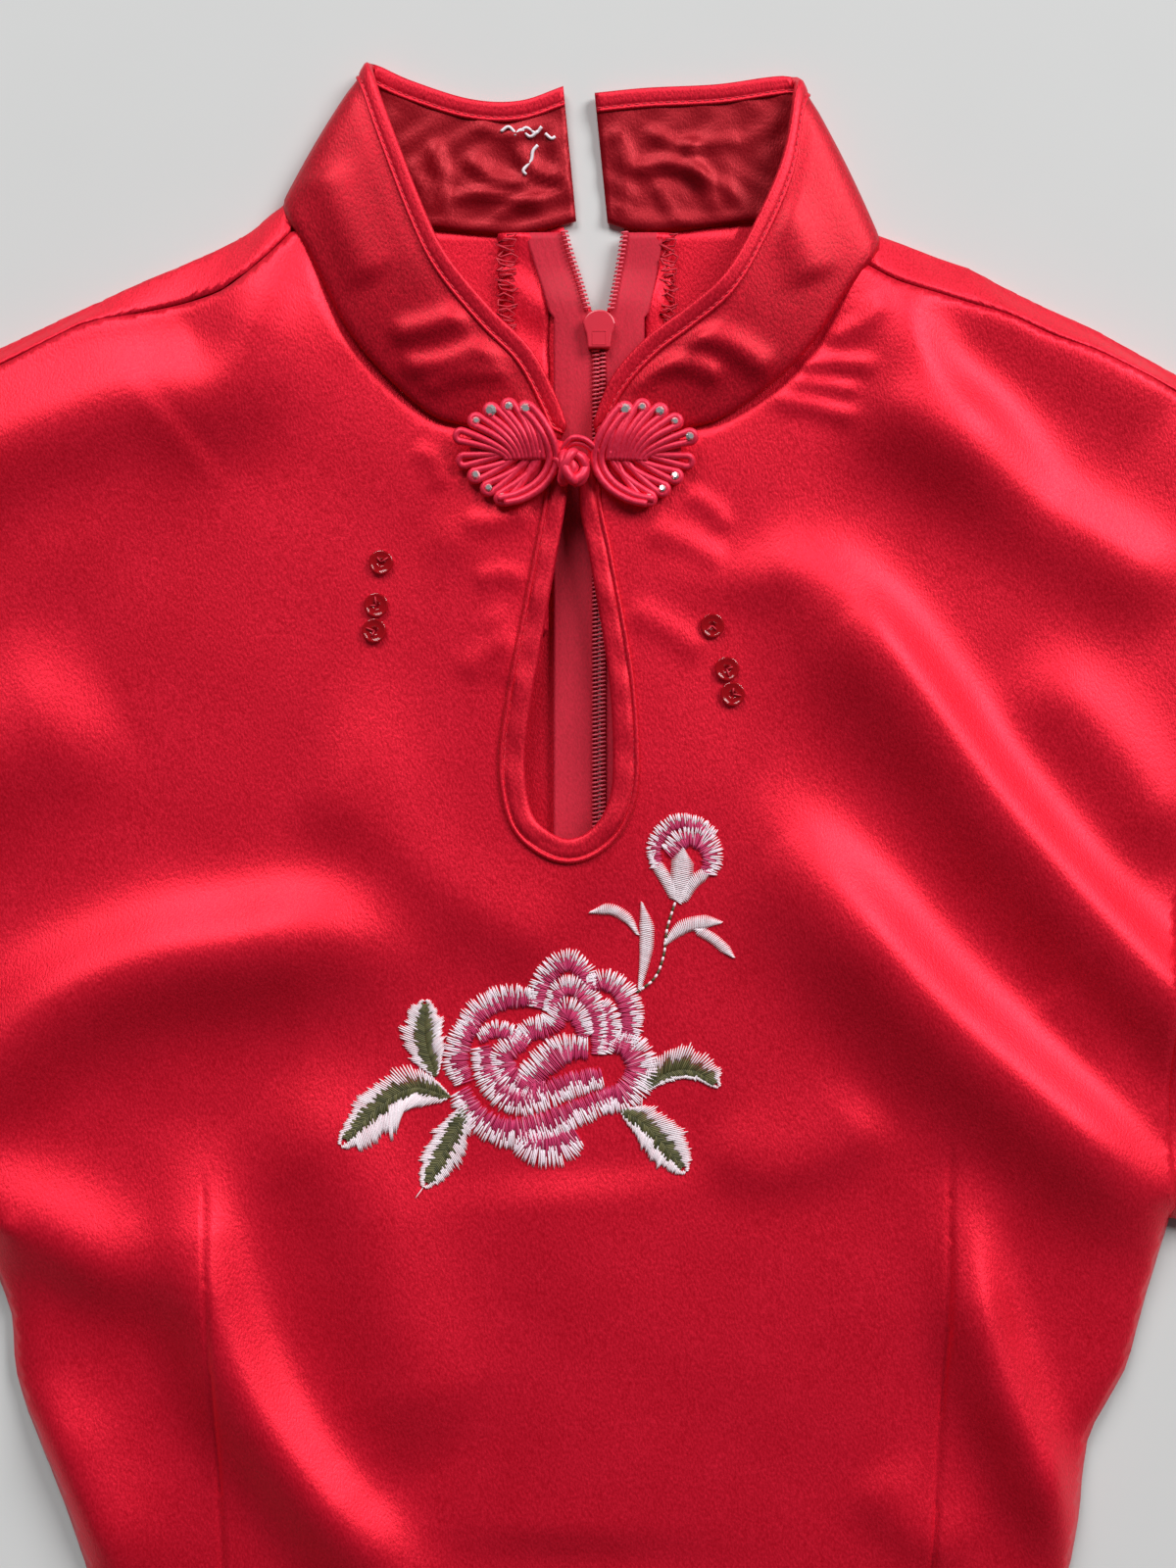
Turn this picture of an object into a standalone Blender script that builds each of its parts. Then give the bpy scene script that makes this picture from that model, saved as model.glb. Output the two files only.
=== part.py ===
"""A short-sleeved satin cheongsam laid flat on its back, face up.

Built in metres, +Z up, +Y towards the neck.

All tables are in millimetres. They are measured from the bottom of the front neck: x to the right, y towards
the collar, z up from the surface that the garment lies on. "Left" and "right" are as seen from above.
Every cloth piece is a sheet of its outer face, given a wall that grows inwards.
"""

import math

import bmesh
import bpy
import numpy as np
from mathutils import Vector
from mathutils.geometry import delaunay_2d_cdt

MM = 0.001

# Walls and gaps
WALL = 1.2
COLLAR_WALL = 1.5
TAPE_WALL = 1.0
SEAM_GAP = 0.5
LAYER_GAP = 0.3
TAPE_LIFT = 0.6  # the zip's tapes over the back, whose facets they bridge
BINDING_WALL = 0.9
LOW_EDGE = 2 * WALL + LAYER_GAP  # top of the front layer where it lies straight on the back layer

# Lengths down the garment
HEM_Y = -900.0
SLIT_TOP_Y = -690.0
WAIST_Y = -385.0
COLLAR_TOP_Y = 109.6
ZIP_END_Y = -480.0

# How full the front lies, and how its sides roll down to the back layer
BODICE_LOFT = 5.5
FROG_LOFT = 8.0  # also all round the keyhole, where the facing keeps the cloth smooth
SKIRT_LOFT = 3.0
SIDE_ROLL = 13.0
SHOULDER_ROLL = 3.6
ROLL_STEP = 2.0  # cloth between the rows of points that go round the shoulder's roll

# Sleeves, from the shoulder tip
SLEEVE_LENGTH = 190.0
SLEEVE_CUFF = 175.0
SLEEVE_SLOPE = math.radians(40)
ARMHOLE_POINTS = 10

# Zip down the centre back
ZIP_X = 6.2
TAPE_WIDTH = 12.0
TAPE_INNER = 1.6
CHAIN_WIDTH = 3.8
COIL_WIDTH = 2.0
COIL_HEIGHT = 1.6
SLIDER_LOW_Y = 25.2
SLIDER_HIGH_Y = 36.5
SLIDER_WIDTH = 9.1
SLIDER_TIP_WIDTH = 6.7
SLIDER_HEIGHT = 3.0
SLIDER_BEVEL = 0.7
SLIDER_ROWS = (  # y and width, from its tip up
    (SLIDER_LOW_Y, SLIDER_TIP_WIDTH),
    (29.5, 7.4),
    (32.5, SLIDER_WIDTH),
    (34.8, 8.6),
    (SLIDER_HIGH_Y, 4.6),
)
# The neck under the slider: half its length along the zip, its thickness, its lowest level and its eye
NECK_HALF = 2.4
NECK_THICK = 2.2
NECK_FOOT = 0.3
NECK_EYE = ((-1.4, 0.75), (1.4, 0.75), (1.4, 2.5), (-1.4, 2.5))
PULL_AXIS_Y = 31.0
PULL_AXIS_Z = 1.5
PULL_BAR = 0.5
PULL_THICK = 1.2
PULL_WIDTH = 6.0
PULL_LENGTH = 26.0
PULL_WINDOW = 5.0  # how far the slot that takes the neck reaches down the tab
PULL_ARM_IN = 1.5
PULL_ARM_OUT = 2.6
BUMP_HEIGHT = 3.2  # how far the cloth rises over the pull that lies under it

# Shoulder, from the neck to the tip: x, y of the rolled edge, y of the seam in front of it
SHOULDER_LEFT = (
    (-91, 68, 57),
    (-98, 60.5, 46),
    (-106, 57, 41.5),
    (-118, 51.6, 38.5),
    (-130, 46.7, 36),
    (-148, 38.5, 32.5),
    (-171, 27.6, 21),
    (-196, 16, 9),
)
SHOULDER_RIGHT = (
    (93, 59, 46),
    (99, 57, 43.5),
    (108, 53.4, 41),
    (117, 50.5, 38.3),
    (128, 44.5, 35),
    (141, 38.2, 29),
    (155, 32, 24),
    (177, 19.7, 13),
    (200, 8, 0.5),
)

# Armhole, from the shoulder tip to the underarm: x, y
ARMHOLE_LEFT = ((-196, 9), (-184, -50), (-178, -120), (-176, -190), (-179, -241))
ARMHOLE_RIGHT = ((200, 0.5), (188.5, -55), (180, -120), (175, -190), (177.5, -234))

# Side, from the underarm to the hem: x, y
SIDE_LEFT = (
    (-179, -241),
    (-170, -262),
    (-167, -286),
    (-148.5, -336),
    (-138, WAIST_Y),
    (-152, -440),
    (-186, -510),
    (-206, -590),
    (-206, SLIT_TOP_Y),
    (-192, HEM_Y),
)
SIDE_RIGHT = (
    (177.5, -234),
    (170, -258),
    (163, -282),
    (153, -299),
    (149, -330),
    (139, WAIST_Y),
    (153, -440),
    (186, -510),
    (206, -590),
    (206, SLIT_TOP_Y),
    (192, HEM_Y),
)

# Front neck and keyhole, from the left shoulder round the keyhole to the right shoulder: x, y
NECK_LEFT = (
    (-88, 58), (-82, 54.5), (-70.3, 31.4), (-58.6, 16.8), (-45.4, 5.2), (-36, 1.6), (-19, -1.6), (-3.2, -3),
)
KEYHOLE_LEFT = (
    (-3.2, -3), (-4.1, -18.6), (-8.1, -42.6), (-14.2, -77.7), (-16.5, -97.7), (-14.6, -112.5), (-9.5, -118.8),
)
KEYHOLE_RIGHT = (
    (-3, -121.4), (3.5, -119), (8.6, -112.5), (11, -101), (9.9, -73.7), (4.4, -38.9), (0.9, -18.6), (3.6, -3),
)
NECK_RIGHT = (
    (3.6, -3), (19, -1.8), (33.6, 0.6), (44, 3.8), (58.6, 13.9), (70.3, 25.6), (82, 43.2), (90.5, 48),
)

# Back neck, from the shoulder to the centre back: x, y
BACK_NECK_LEFT = ((-91, 66), (-84, 65), (-60.9, 61.2), (-37.7, 58.4), (-17.4, 57.3), (-3.2, 57.6))
BACK_NECK_RIGHT = ((93, 56), (86, 57), (70, 60.5), (47.9, 60.5), (21.8, 57.8), (13.4, 57.4))

# Centre-back edges above the slider, where the open zip lets them part: y, left x, right x
OPEN_CHAIN = ((37.0, 3.1, 9.3), (45.0, 0.9, 10.9), (57.0, -2.9, 13.0))

# Collar halves, ribs from the centre back round the neck to the frog: seam x, y, z, then bound edge x, y, z
COLLAR_LEFT = (
    (-0.6, 62.0, 0.0, -4.4, 101.5, 1.3),
    (-17.4, 58.0, 0.0, -17.4, 97.2, 1.3),
    (-37.7, 59.2, 0.0, -31.9, 97.7, 1.3),
    (-60.9, 62.0, 0.0, -49.0, 103.0, 1.3),
    (-82.0, 66.3, 0.0, -58.5, 107.3, 1.3),
    (-86.6, 67.4, 1.6, -61.6, 108.6, 2.6),
    (-88.0, 67.0, 5.2, -62.6, 109.0, 6.0),
    (-86.2, 62.8, 8.8, -61.4, 106.2, 9.6),
    (-81.2, 55.1, 10.4, -56.0, 91.5, 13.0),
    (-69.6, 31.9, 11.2, -46.4, 66.7, 16.0),
    (-58.0, 17.4, 11.4, -39.2, 52.2, 17.0),
    (-45.0, 5.8, 11.0, -26.1, 36.3, 15.5),
    (-36.3, 2.3, 10.9, -14.5, 24.7, 14.0),
    (-20.3, -0.9, 10.8, -7.3, 11.6, 12.0),
    (-5.0, -2.2, 10.8, -3.4, 1.6, 11.2),
)
COLLAR_RIGHT = (
    (8.7, 61.5, 0.0, 4.9, 99.5, 1.3),
    (21.8, 58.6, 0.0, 20.3, 101.0, 1.3),
    (47.9, 61.3, 0.0, 40.6, 102.0, 1.3),
    (70.0, 61.3, 0.0, 55.0, 104.0, 1.3),
    (84.0, 58.2, 0.0, 61.5, 104.6, 1.3),
    (88.4, 57.4, 1.6, 64.8, 104.6, 2.6),
    (90.0, 55.8, 5.2, 65.9, 104.0, 6.0),
    (88.0, 51.6, 8.8, 64.6, 101.0, 9.6),
    (81.2, 43.5, 10.6, 60.9, 81.2, 13.5),
    (69.6, 26.1, 11.4, 52.2, 60.9, 16.5),
    (58.0, 14.5, 11.6, 43.5, 46.4, 17.5),
    (43.5, 4.4, 11.0, 31.9, 36.3, 15.5),
    (33.4, 1.3, 10.9, 20.3, 27.6, 14.0),
    (18.9, -1.1, 10.8, 10.2, 16.0, 12.4),
    (5.4, -2.2, 10.8, 4.4, 2.4, 11.2),
)
COLLAR_BAND = 5.5
KEYHOLE_BAND = 6.0

# Largest folds of the front: start x, y, bend x, y, end x, y, half width, height
FOLDS = (
    (-171, -174, -109, -112, -29, -165, 24, 13.0),
    (-165, -200, -104, -141, -43, -191, 16, -4.0),
    (-174, -220, -133, -215, -104, -238, 20, 7.0),
    (-112, -212, -103, -284, -49, -325, 17, 8.0),
    (-84, -186, -55, -249, -46, -302, 15, 4.0),
    (-154, -273, -136, -293, -128, -348, 16, 5.5),
    (-180, -3, -139, 20, -99, 26, 16, 5.0),
    (-145, -35, -119, 3, -75, -12, 16, -4.0),
    (-162, -17, -145, -75, -154, -122, 20, 5.0),
    (94, 44, 99, 17, 142, -17, 12, 6.0),
    (32, -6, 90, -12, 177, -165, 21, 11.0),
    (14, -104, 61, -70, 175, -225, 21, 12.0),
    (122, -35, 148, -58, 186, -133, 16, 6.0),
    (49, -52, 90, -75, 157, -177, 15, -4.0),
    (122, -226, 128, -293, 148, -325, 14, 5.5),
    (113, -215, 148, -235, 168, -264, 22, -3.0),
    (-3, -229, 3, -307, 0, -423, 40, 3.0),
    (ZIP_X, -10, ZIP_X, -250, ZIP_X, -500, 28, 2.5),
    (-135, -392, -60, -385, -10, -405, 16, 4.0),
    (136, -380, 80, -372, 30, -390, 16, 4.0),
    (-90, -380, -110, -560, -80, -820, 42, 5.0),
    (60, -400, 40, -600, 80, -850, 45, 5.0),
    (-10, -500, -30, -650, -5, -870, 36, 3.5),
    (130, -450, 150, -620, 130, -800, 32, 4.0),
    (-200, -10, -250, -70, -315, -130, 24, 5.0),
    (-190, -120, -225, -150, -270, -195, 22, 5.0),
    (205, -20, 260, -80, 320, -140, 24, 5.0),
    (192, -120, 230, -150, 275, -200, 22, 5.0),
)

# Frog: centre x, y, radius x, radius y of each shell; the knot's centre and radii
SHELL_LEFT = (-21.6, -6.8, 15.2, 16.2)
SHELL_RIGHT = (20.2, -6.8, 14.6, 16.2)
SHELL_THICK = 2.6
SHELL_LOBES = 9
KNOT = (-2.0, -11.6, 4.4, 7.0, 3.8)
LOOP_PATH = ((4.4, -7.5), (3.6, -3.6), (0.6, -2.6), (-2.4, -2.5), (-4.6, -3.0))
LOOP_RADIUS = 0.9


# ---------------------------------------------------------------- curves and outlines
def smooth_path(rows, step):
    """A smooth curve through the rows' points, with a point about every step."""
    rows = np.array(rows, float)
    ends = np.vstack([2 * rows[0] - rows[1], rows, 2 * rows[-1] - rows[-2]])
    points = []
    for a, b, c, d in zip(ends, ends[1:], ends[2:], ends[3:]):
        count = max(1, round(np.linalg.norm((c - b)[:2]) / step))
        for i in range(count):
            t = i / count
            points.append(
                0.5
                * (
                    2 * b
                    + (c - a) * t
                    + (2 * a - 5 * b + 4 * c - d) * t**2
                    + (3 * b - a - 3 * c + d) * t**3
                )
            )
    points.append(rows[-1])
    return np.array(points)


def column(rows, x, index):
    """A column of a table at x, between its rows."""
    table = sorted(rows)
    return np.interp(x, [row[0] for row in table], [row[index] for row in table])


def soft_step(value):
    value = np.clip(value, 0, 1)
    return value * value * (3 - 2 * value)


def path_distance(x, y, path):
    """How far each point is from a path, and how far along it the nearest place is, from 0 to 1."""
    x = np.asarray(x, float)
    y = np.asarray(y, float)
    best = np.full(x.shape, np.inf)
    along = np.zeros(x.shape)
    count = len(path) - 1
    for i, (a, b) in enumerate(zip(path[:-1], path[1:])):
        dx, dy = b[0] - a[0], b[1] - a[1]
        t = np.clip(((x - a[0]) * dx + (y - a[1]) * dy) / max(dx * dx + dy * dy, 1e-9), 0, 1)
        distance = np.hypot(x - a[0] - t * dx, y - a[1] - t * dy)
        nearer = distance < best
        best = np.where(nearer, distance, best)
        along = np.where(nearer, (i + t) / count, along)
    return best, along


def armhole_points(side):
    """The armhole's points, the same on the front, the back and the sleeve."""
    fine = smooth_path(ARMHOLE_LEFT if side < 0 else ARMHOLE_RIGHT, 3)
    picks = np.linspace(0, len(fine) - 1, ARMHOLE_POINTS)
    return np.column_stack([np.interp(picks, np.arange(len(fine)), fine[:, k]) for k in range(2)])


def cuff_ends(tip, side):
    """The top and the bottom of a sleeve's cuff; side is -1 on the left and 1 on the right."""
    down = np.array([side * math.cos(SLEEVE_SLOPE), -math.sin(SLEEVE_SLOPE)])
    across = np.array([-side * math.sin(SLEEVE_SLOPE), -math.cos(SLEEVE_SLOPE)])
    top = np.array(tip, float) + SLEEVE_LENGTH * down
    return top, top + SLEEVE_CUFF * across


TIP_LEFT = (SHOULDER_LEFT[-1][0], SHOULDER_LEFT[-1][1])
TIP_RIGHT = (SHOULDER_RIGHT[-1][0], SHOULDER_RIGHT[-1][1])
CUFF_LEFT = cuff_ends(TIP_LEFT, -1)
CUFF_RIGHT = cuff_ends(TIP_RIGHT, 1)
CENTRE = ((CUFF_LEFT[0][0] + CUFF_RIGHT[0][0]) / 2, (HEM_Y + COLLAR_TOP_Y) / 2)

KEYHOLE_AXIS = ((-1.5, -20), (-3, -100))

# The edge where the front layer comes down to the back layer, from cuff to cuff round the hem
LOWER_EDGE = np.vstack(
    [
        CUFF_LEFT[1],
        smooth_path(SIDE_LEFT, 14),
        smooth_path(SIDE_RIGHT, 14)[::-1],
        CUFF_RIGHT[1],
    ]
)


# ---------------------------------------------------------------- heights
def fold_height(x, y):
    """The folds' heights added up."""
    total = np.zeros(np.shape(x))
    for ax, ay, bx, by, cx, cy, half_width, height in FOLDS:
        t = np.linspace(0, 1, 13)[:, None]
        path = (1 - t) ** 2 * [ax, ay] + 2 * t * (1 - t) * [bx, by] + t**2 * [cx, cy]
        distance, along = path_distance(x, y, path)
        fade = soft_step(np.minimum(along, 1 - along) * 4 + 0.25)
        total += height * fade * np.exp(-((distance / (0.62 * half_width)) ** 2))
    return total


def front_z(x, y):
    """Height of the outer face of the front layer, sleeves included."""
    x = np.asarray(x, float)
    y = np.asarray(y, float)
    bodice = soft_step((y - HEM_Y / 2 - 40) / 160) * soft_step((225 - np.abs(x)) / 40)
    loft = SKIRT_LOFT + (BODICE_LOFT - SKIRT_LOFT) * bodice
    distance, _ = path_distance(x, y, LOWER_EDGE)
    roll = np.clip(distance / SIDE_ROLL, 0, 1)
    full = np.maximum(loft + fold_height(x, y), 0.6)
    calm = np.exp(-((x / 50) ** 2) - ((y + 4) / 30) ** 2)
    from_slit, _ = path_distance(x, y, KEYHOLE_AXIS)
    calm = np.maximum(calm, soft_step((40 - from_slit) / 18))
    full = full * (1 - calm) + FROG_LOFT * calm
    return LOW_EDGE + full * np.sqrt(1 - (1 - roll) ** 2 + 1e-9)


def back_z(x, y):
    """Height of the underside of the back layer: flat, but for the rise over the zip's pull."""
    x = np.asarray(x, float)
    y = np.asarray(y, float)
    across = soft_step((24 - np.abs(x - ZIP_X)) / 16)
    along = soft_step((y + 22) / 14) * soft_step((52 - y) / 14)
    return BUMP_HEIGHT * across * along


def chain_x(y, side):
    """Middle of one half of the chain above the slider."""
    table = np.array(OPEN_CHAIN)
    return np.interp(y, table[:, 0], table[:, 1 if side < 0 else 2])


def back_edge_x(y, side):
    """The centre-back edge of a back panel: shut below the slider, parting above it."""
    near_slider = soft_step(1 - abs(y - PULL_AXIS_Y) / 12)
    shut = ZIP_X + side * (0.5 + 1.6 * near_slider)
    return chain_x(y, side) if y > SLIDER_HIGH_Y + 0.5 else shut


# ---------------------------------------------------------------- making objects
garment = None


def material(name, colour, roughness, metallic=0.0):
    made = bpy.data.materials.new(name)
    made.use_nodes = True
    shader = made.node_tree.nodes["Principled BSDF"]
    shader.inputs["Base Color"].default_value = (*colour, 1)
    shader.inputs["Roughness"].default_value = roughness
    shader.inputs["Metallic"].default_value = metallic
    made.diffuse_color = (*colour, 1)
    return made


def add_object(name, points, faces, finish, smooth=True):
    """A mesh object in the garment's frame from points in millimetres."""
    mesh = bpy.data.meshes.new(name)
    scaled = [tuple(float(c) * MM for c in point) for point in points]
    mesh.from_pydata(scaled, [], [list(f) for f in faces])
    mesh.materials.append(finish)
    mesh.validate()
    if smooth:
        mesh.shade_smooth()
    made = bpy.data.objects.new(name, mesh)
    bpy.context.scene.collection.objects.link(made)
    made.parent = garment
    return made


def add_wall(made, wall):
    """Gives a sheet of an outer face its wall, inwards."""
    solid = made.modifiers.new("wall", "SOLIDIFY")
    solid.thickness = wall * MM
    solid.offset = -1
    return made


def recalculated(made):
    """Turns a closed mesh's faces outwards."""
    shape = bmesh.new()
    shape.from_mesh(made.data)
    bmesh.ops.recalc_face_normals(shape, faces=shape.faces)
    shape.to_mesh(made.data)
    shape.free()
    return made


def grid_faces(rows, columns, closed=False):
    faces = []
    for i in range(rows - 1):
        for j in range(columns if closed else columns - 1):
            k = (j + 1) % columns
            faces.append((i * columns + j, i * columns + k, (i + 1) * columns + k, (i + 1) * columns + j))
    return faces


def inside(x, y, outline):
    """Which points lie inside an outline."""
    hit = np.zeros(np.shape(x), bool)
    for (ax, ay), (bx, by) in zip(outline, np.roll(outline, -1, axis=0)):
        crosses = (ay > y) != (by > y)
        with np.errstate(divide="ignore", invalid="ignore"):
            at = ax + (y - ay) * (bx - ax) / (by - ay)
        hit ^= crosses & (x < at)
    return hit


def triangulated(outline, extra, spacing_of):
    """Flat triangles over an outline: its own points, a staggered grid inside it, and any extra rows."""
    low, high = outline.min(axis=0), outline.max(axis=0)
    grid = []
    y = low[1]
    shift = False
    while y < high[1]:
        spacing = spacing_of(y)
        xs = np.arange(low[0] + (spacing / 2 if shift else 0), high[0], spacing)
        grid += [(x, y) for x in xs]
        y += 0.87 * spacing
        shift = not shift
    grid = np.array(grid)
    closed = np.vstack([outline, outline[:1]])
    distance, _ = path_distance(grid[:, 0], grid[:, 1], closed)
    room = np.array([0.55 * spacing_of(y) for y in grid[:, 1]])
    keep = inside(grid[:, 0], grid[:, 1], outline) & (distance > room)
    if len(extra):
        gaps = grid[:, None] - extra[None]
        apart = np.hypot(gaps[:, :, 0], gaps[:, :, 1]).min(axis=1)
        keep &= apart > 0.6 * room
    points = [*map(tuple, outline), *map(tuple, grid[keep]), *map(tuple, extra)]
    rim = [(i, (i + 1) % len(outline)) for i in range(len(outline))]
    flat = delaunay_2d_cdt([Vector(p) for p in points], rim, [], 0, 1e-6)
    verts = np.array([tuple(v) for v in flat[0]])
    faces = np.array([f for f in flat[2] if len(f) == 3])
    middle = verts[faces].mean(axis=1)
    faces = faces[inside(middle[:, 0], middle[:, 1], outline)]
    a, b, c = (verts[faces[:, k]] for k in range(3))
    turned = (b - a)[:, 0] * (c - a)[:, 1] - (b - a)[:, 1] * (c - a)[:, 0] < 0
    faces[turned] = faces[turned][:, ::-1]
    used = np.unique(faces)
    renumber = np.full(len(verts), -1)
    renumber[used] = np.arange(len(used))
    return verts[used], renumber[faces]


def joined(*paths):
    """Paths end to end as one outline, without the points that they share."""
    points = [paths[0][0]]
    for path in paths:
        for point in path:
            if np.hypot(*(np.array(point) - points[-1])) > 0.05:
                points.append(np.array(point))
    if np.hypot(*(points[0] - points[-1])) < 0.05:
        points.pop()
    return np.array(points)


def body_spacing(y):
    return 18.0 if y > WAIST_Y - 20 else 31.0


def back_spacing(_):
    return 42.0


# ---------------------------------------------------------------- cloth pieces
def slit_side(rows, side, inset):
    """A side seam path. Below the slit the front's edge sits in from the back's, as the slit lies open."""
    path = smooth_path(rows, 16)
    below = soft_step((SLIT_TOP_Y - path[:, 1]) / 30)
    path[:, 0] -= side * inset * below
    return path


def keyhole_path():
    """The keyhole's edge below the frog, and the level direction away from the hole at each point."""
    path = smooth_path(KEYHOLE_LEFT + KEYHOLE_RIGHT, 7)
    path = path[path[:, 1] < -19.5]
    forward = np.gradient(path, axis=0)
    forward /= np.linalg.norm(forward, axis=1)[:, None]
    return path, forward, np.column_stack([forward[:, 1], -forward[:, 0]])


def front_panel(finish):
    """The whole front with its darts, cut round the neck, the keyhole and the front of each armhole."""
    seam_right = np.array([(x, seam - SEAM_GAP) for x, _, seam in SHOULDER_RIGHT], float)
    seam_left = np.array([(x, seam - SEAM_GAP) for x, _, seam in SHOULDER_LEFT], float)
    right = slit_side(SIDE_RIGHT, 1, 4)
    left = slit_side(SIDE_LEFT, -1, 4)
    hem = np.column_stack([np.linspace(right[-1][0], left[-1][0], 14), np.full(14, HEM_Y)])
    arm_right, arm_left = armhole_points(1), armhole_points(-1)
    for arm in (arm_right, arm_left):
        arm[0, 1] -= SEAM_GAP
    outline = joined(
        smooth_path(NECK_LEFT, 8),
        smooth_path(KEYHOLE_LEFT + KEYHOLE_RIGHT, 7),
        smooth_path(NECK_RIGHT, 8),
        smooth_path(seam_right, 14)[:-1],
        arm_right,
        right,
        hem,
        left[::-1],
        arm_left[::-1],
        smooth_path(seam_left, 14)[-2::-1],
    )
    path, _, away = keyhole_path()
    flat, faces = triangulated(outline, path + away * (KEYHOLE_BAND + 2), body_spacing)
    z = front_z(flat[:, 0], flat[:, 1])
    return add_wall(add_object("front_panel", np.column_stack([flat, z]), faces, finish), WALL)


def back_panel(name, side, finish):
    """Half of the back, from the zip to the side. Its shoulder rolls over the top to the seam in front."""
    shoulder = SHOULDER_LEFT if side < 0 else SHOULDER_RIGHT
    neck = BACK_NECK_LEFT if side < 0 else BACK_NECK_RIGHT
    side_rows = SIDE_LEFT if side < 0 else SIDE_RIGHT
    turns = 7
    edge = smooth_path(shoulder, 16)
    over = [edge[:, :2] + (0, ROLL_STEP * k - SHOULDER_ROLL) for k in range(turns + 2)]
    last = over[-1]
    near_zip = [neck[-1][1], 50, 44, 38, 36.5, 33, 29, 24, 19, 8, -6, -24, -80]
    centre_y = np.array([*near_zip, *np.arange(-160, HEM_Y, -90), HEM_Y])
    centre = np.array([(back_edge_x(y, side), y) for y in centre_y])
    sides = smooth_path(side_rows, 24)
    hem = np.column_stack([np.linspace(centre[-1][0], sides[-1][0], 7), np.full(7, HEM_Y)])
    arm = armhole_points(side)[1:]
    column_out = np.array([row[-1] for row in over])
    column_in = np.array([row[0] for row in over])
    outline = joined(
        smooth_path(neck, 14)[1:],
        centre,
        hem,
        sides[::-1],
        arm[::-1],
        column_out,
        last[::-1],
        column_in[::-1],
    )
    bump_y = (-22, -12, -2, 10, 22, 33, 42, 50)
    bump = np.array([(ZIP_X + side * dx, y) for dx in (6, 12, 18, 24) for y in bump_y])
    rows = np.vstack([*[row[1:-1] for row in over[:-1]], bump])
    flat, faces = triangulated(outline, rows, back_spacing)
    x, v = flat[:, 0], flat[:, 1]
    fold = column(shoulder, x, 1) - SHOULDER_ROLL
    seam = column(shoulder, x, 2)
    on_shoulder = np.abs(x) >= abs(shoulder[0][0]) - 0.01
    beyond = np.where(on_shoulder, (v - fold) / (ROLL_STEP * (turns + 1)), -1)
    top = front_z(x, seam)
    turn = np.clip(beyond * (turns + 1) / turns, 0, 1) * math.pi
    over_y = fold + SHOULDER_ROLL * np.sin(turn)
    over_z = top * (1 - np.cos(turn)) / 2
    ahead = np.clip((beyond * (turns + 1) - turns), 0, 1)
    over_y = over_y + (seam - fold) * ahead
    rolled = (beyond > 1e-6) & (v > fold)
    y = np.where(rolled, over_y, v)
    z = np.where(rolled, over_z, back_z(x, v))
    return add_wall(add_object(name, np.column_stack([x, y, z]), faces[:, ::-1], finish), WALL)


def sleeve(name, side, finish):
    """A short set-in sleeve: a flattened tube from the armhole to the cuff."""
    tip = TIP_LEFT if side < 0 else TIP_RIGHT
    top, bottom = CUFF_LEFT if side < 0 else CUFF_RIGHT
    across = ARMHOLE_POINTS
    along = 6
    start = armhole_points(side)
    start[:, 0] += side * np.linspace(2.8, 1, across) * SEAM_GAP
    start[0, 1] = tip[1] - 3
    end = np.linspace(top + (bottom - top) * 0.02, bottom, across)
    points = []
    for i in range(along):
        t = i / (along - 1)
        line = start * (1 - t) + end * t
        over = front_z(line[:, 0], line[:, 1])
        out = (line[0] - line[1]) / np.linalg.norm(line[0] - line[1])
        ring = [(x, y, 0.0) for x, y in line[::-1]]
        ring += [(*(line[0] + out * 2.2), 0.28 * over[0]), (*(line[0] + out * 2.2), 0.72 * over[0])]
        ring += [(x, y, z) for (x, y), z in zip(line, over)]
        points += ring
    count = 2 * across + 2
    made = add_object(name, points, grid_faces(along, count, closed=True), finish)
    shape = bmesh.new()
    shape.from_mesh(made.data)
    bmesh.ops.recalc_face_normals(shape, faces=shape.faces)
    shape.faces.ensure_lookup_table()
    lowest = min(shape.faces, key=lambda face: face.calc_center_median().z)
    if lowest.normal.z > 0:
        bmesh.ops.reverse_faces(shape, faces=shape.faces)
    shape.to_mesh(made.data)
    shape.free()
    return add_wall(made, WALL)


# ---------------------------------------------------------------- collar and bindings
def unit(vectors):
    return vectors / np.linalg.norm(vectors, axis=1)[:, None]


def collar_ribs(rows, side):
    """Ribs of a collar half: seam points, edge points and the outer face's directions."""
    table = smooth_path(rows, 9)
    seam, edge = table[:, :3], table[:, 3:]
    forward = unit(np.gradient(seam + edge, axis=0))
    outward = unit(np.cross(seam - edge, forward) * -side)
    return seam, edge, forward, outward


def lofted(name, rings, finish, smooth=True):
    """A closed section carried through its rings, shut at both ends with strips across it."""
    count = len(rings[0])
    points = [tuple(point) for ring in rings for point in ring]
    faces = grid_faces(len(rings), count, closed=True)
    for start in (0, (len(rings) - 1) * count):
        low, high = 0, count - 1
        while high - low > 1:
            faces.append((start + low, start + low + 1, start + high - 1, start + high))
            low, high = low + 1, high - 1
    return recalculated(add_object(name, points, faces, finish, smooth))


def collar(name, rows, side, finish):
    """Half of the stand collar, from the centre back to the frog: a stiff band of two layers."""
    seam, edge, _, outward = collar_ribs(rows, side)
    across = (0.0, 0.35, 0.7, 1.0)
    rings = []
    for s, e, out in zip(seam, edge, outward):
        outer = [s + (e - s) * t for t in across]
        rings.append(outer + [point - out * COLLAR_WALL for point in outer[::-1]])
    return lofted(name, rings, finish)


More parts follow.
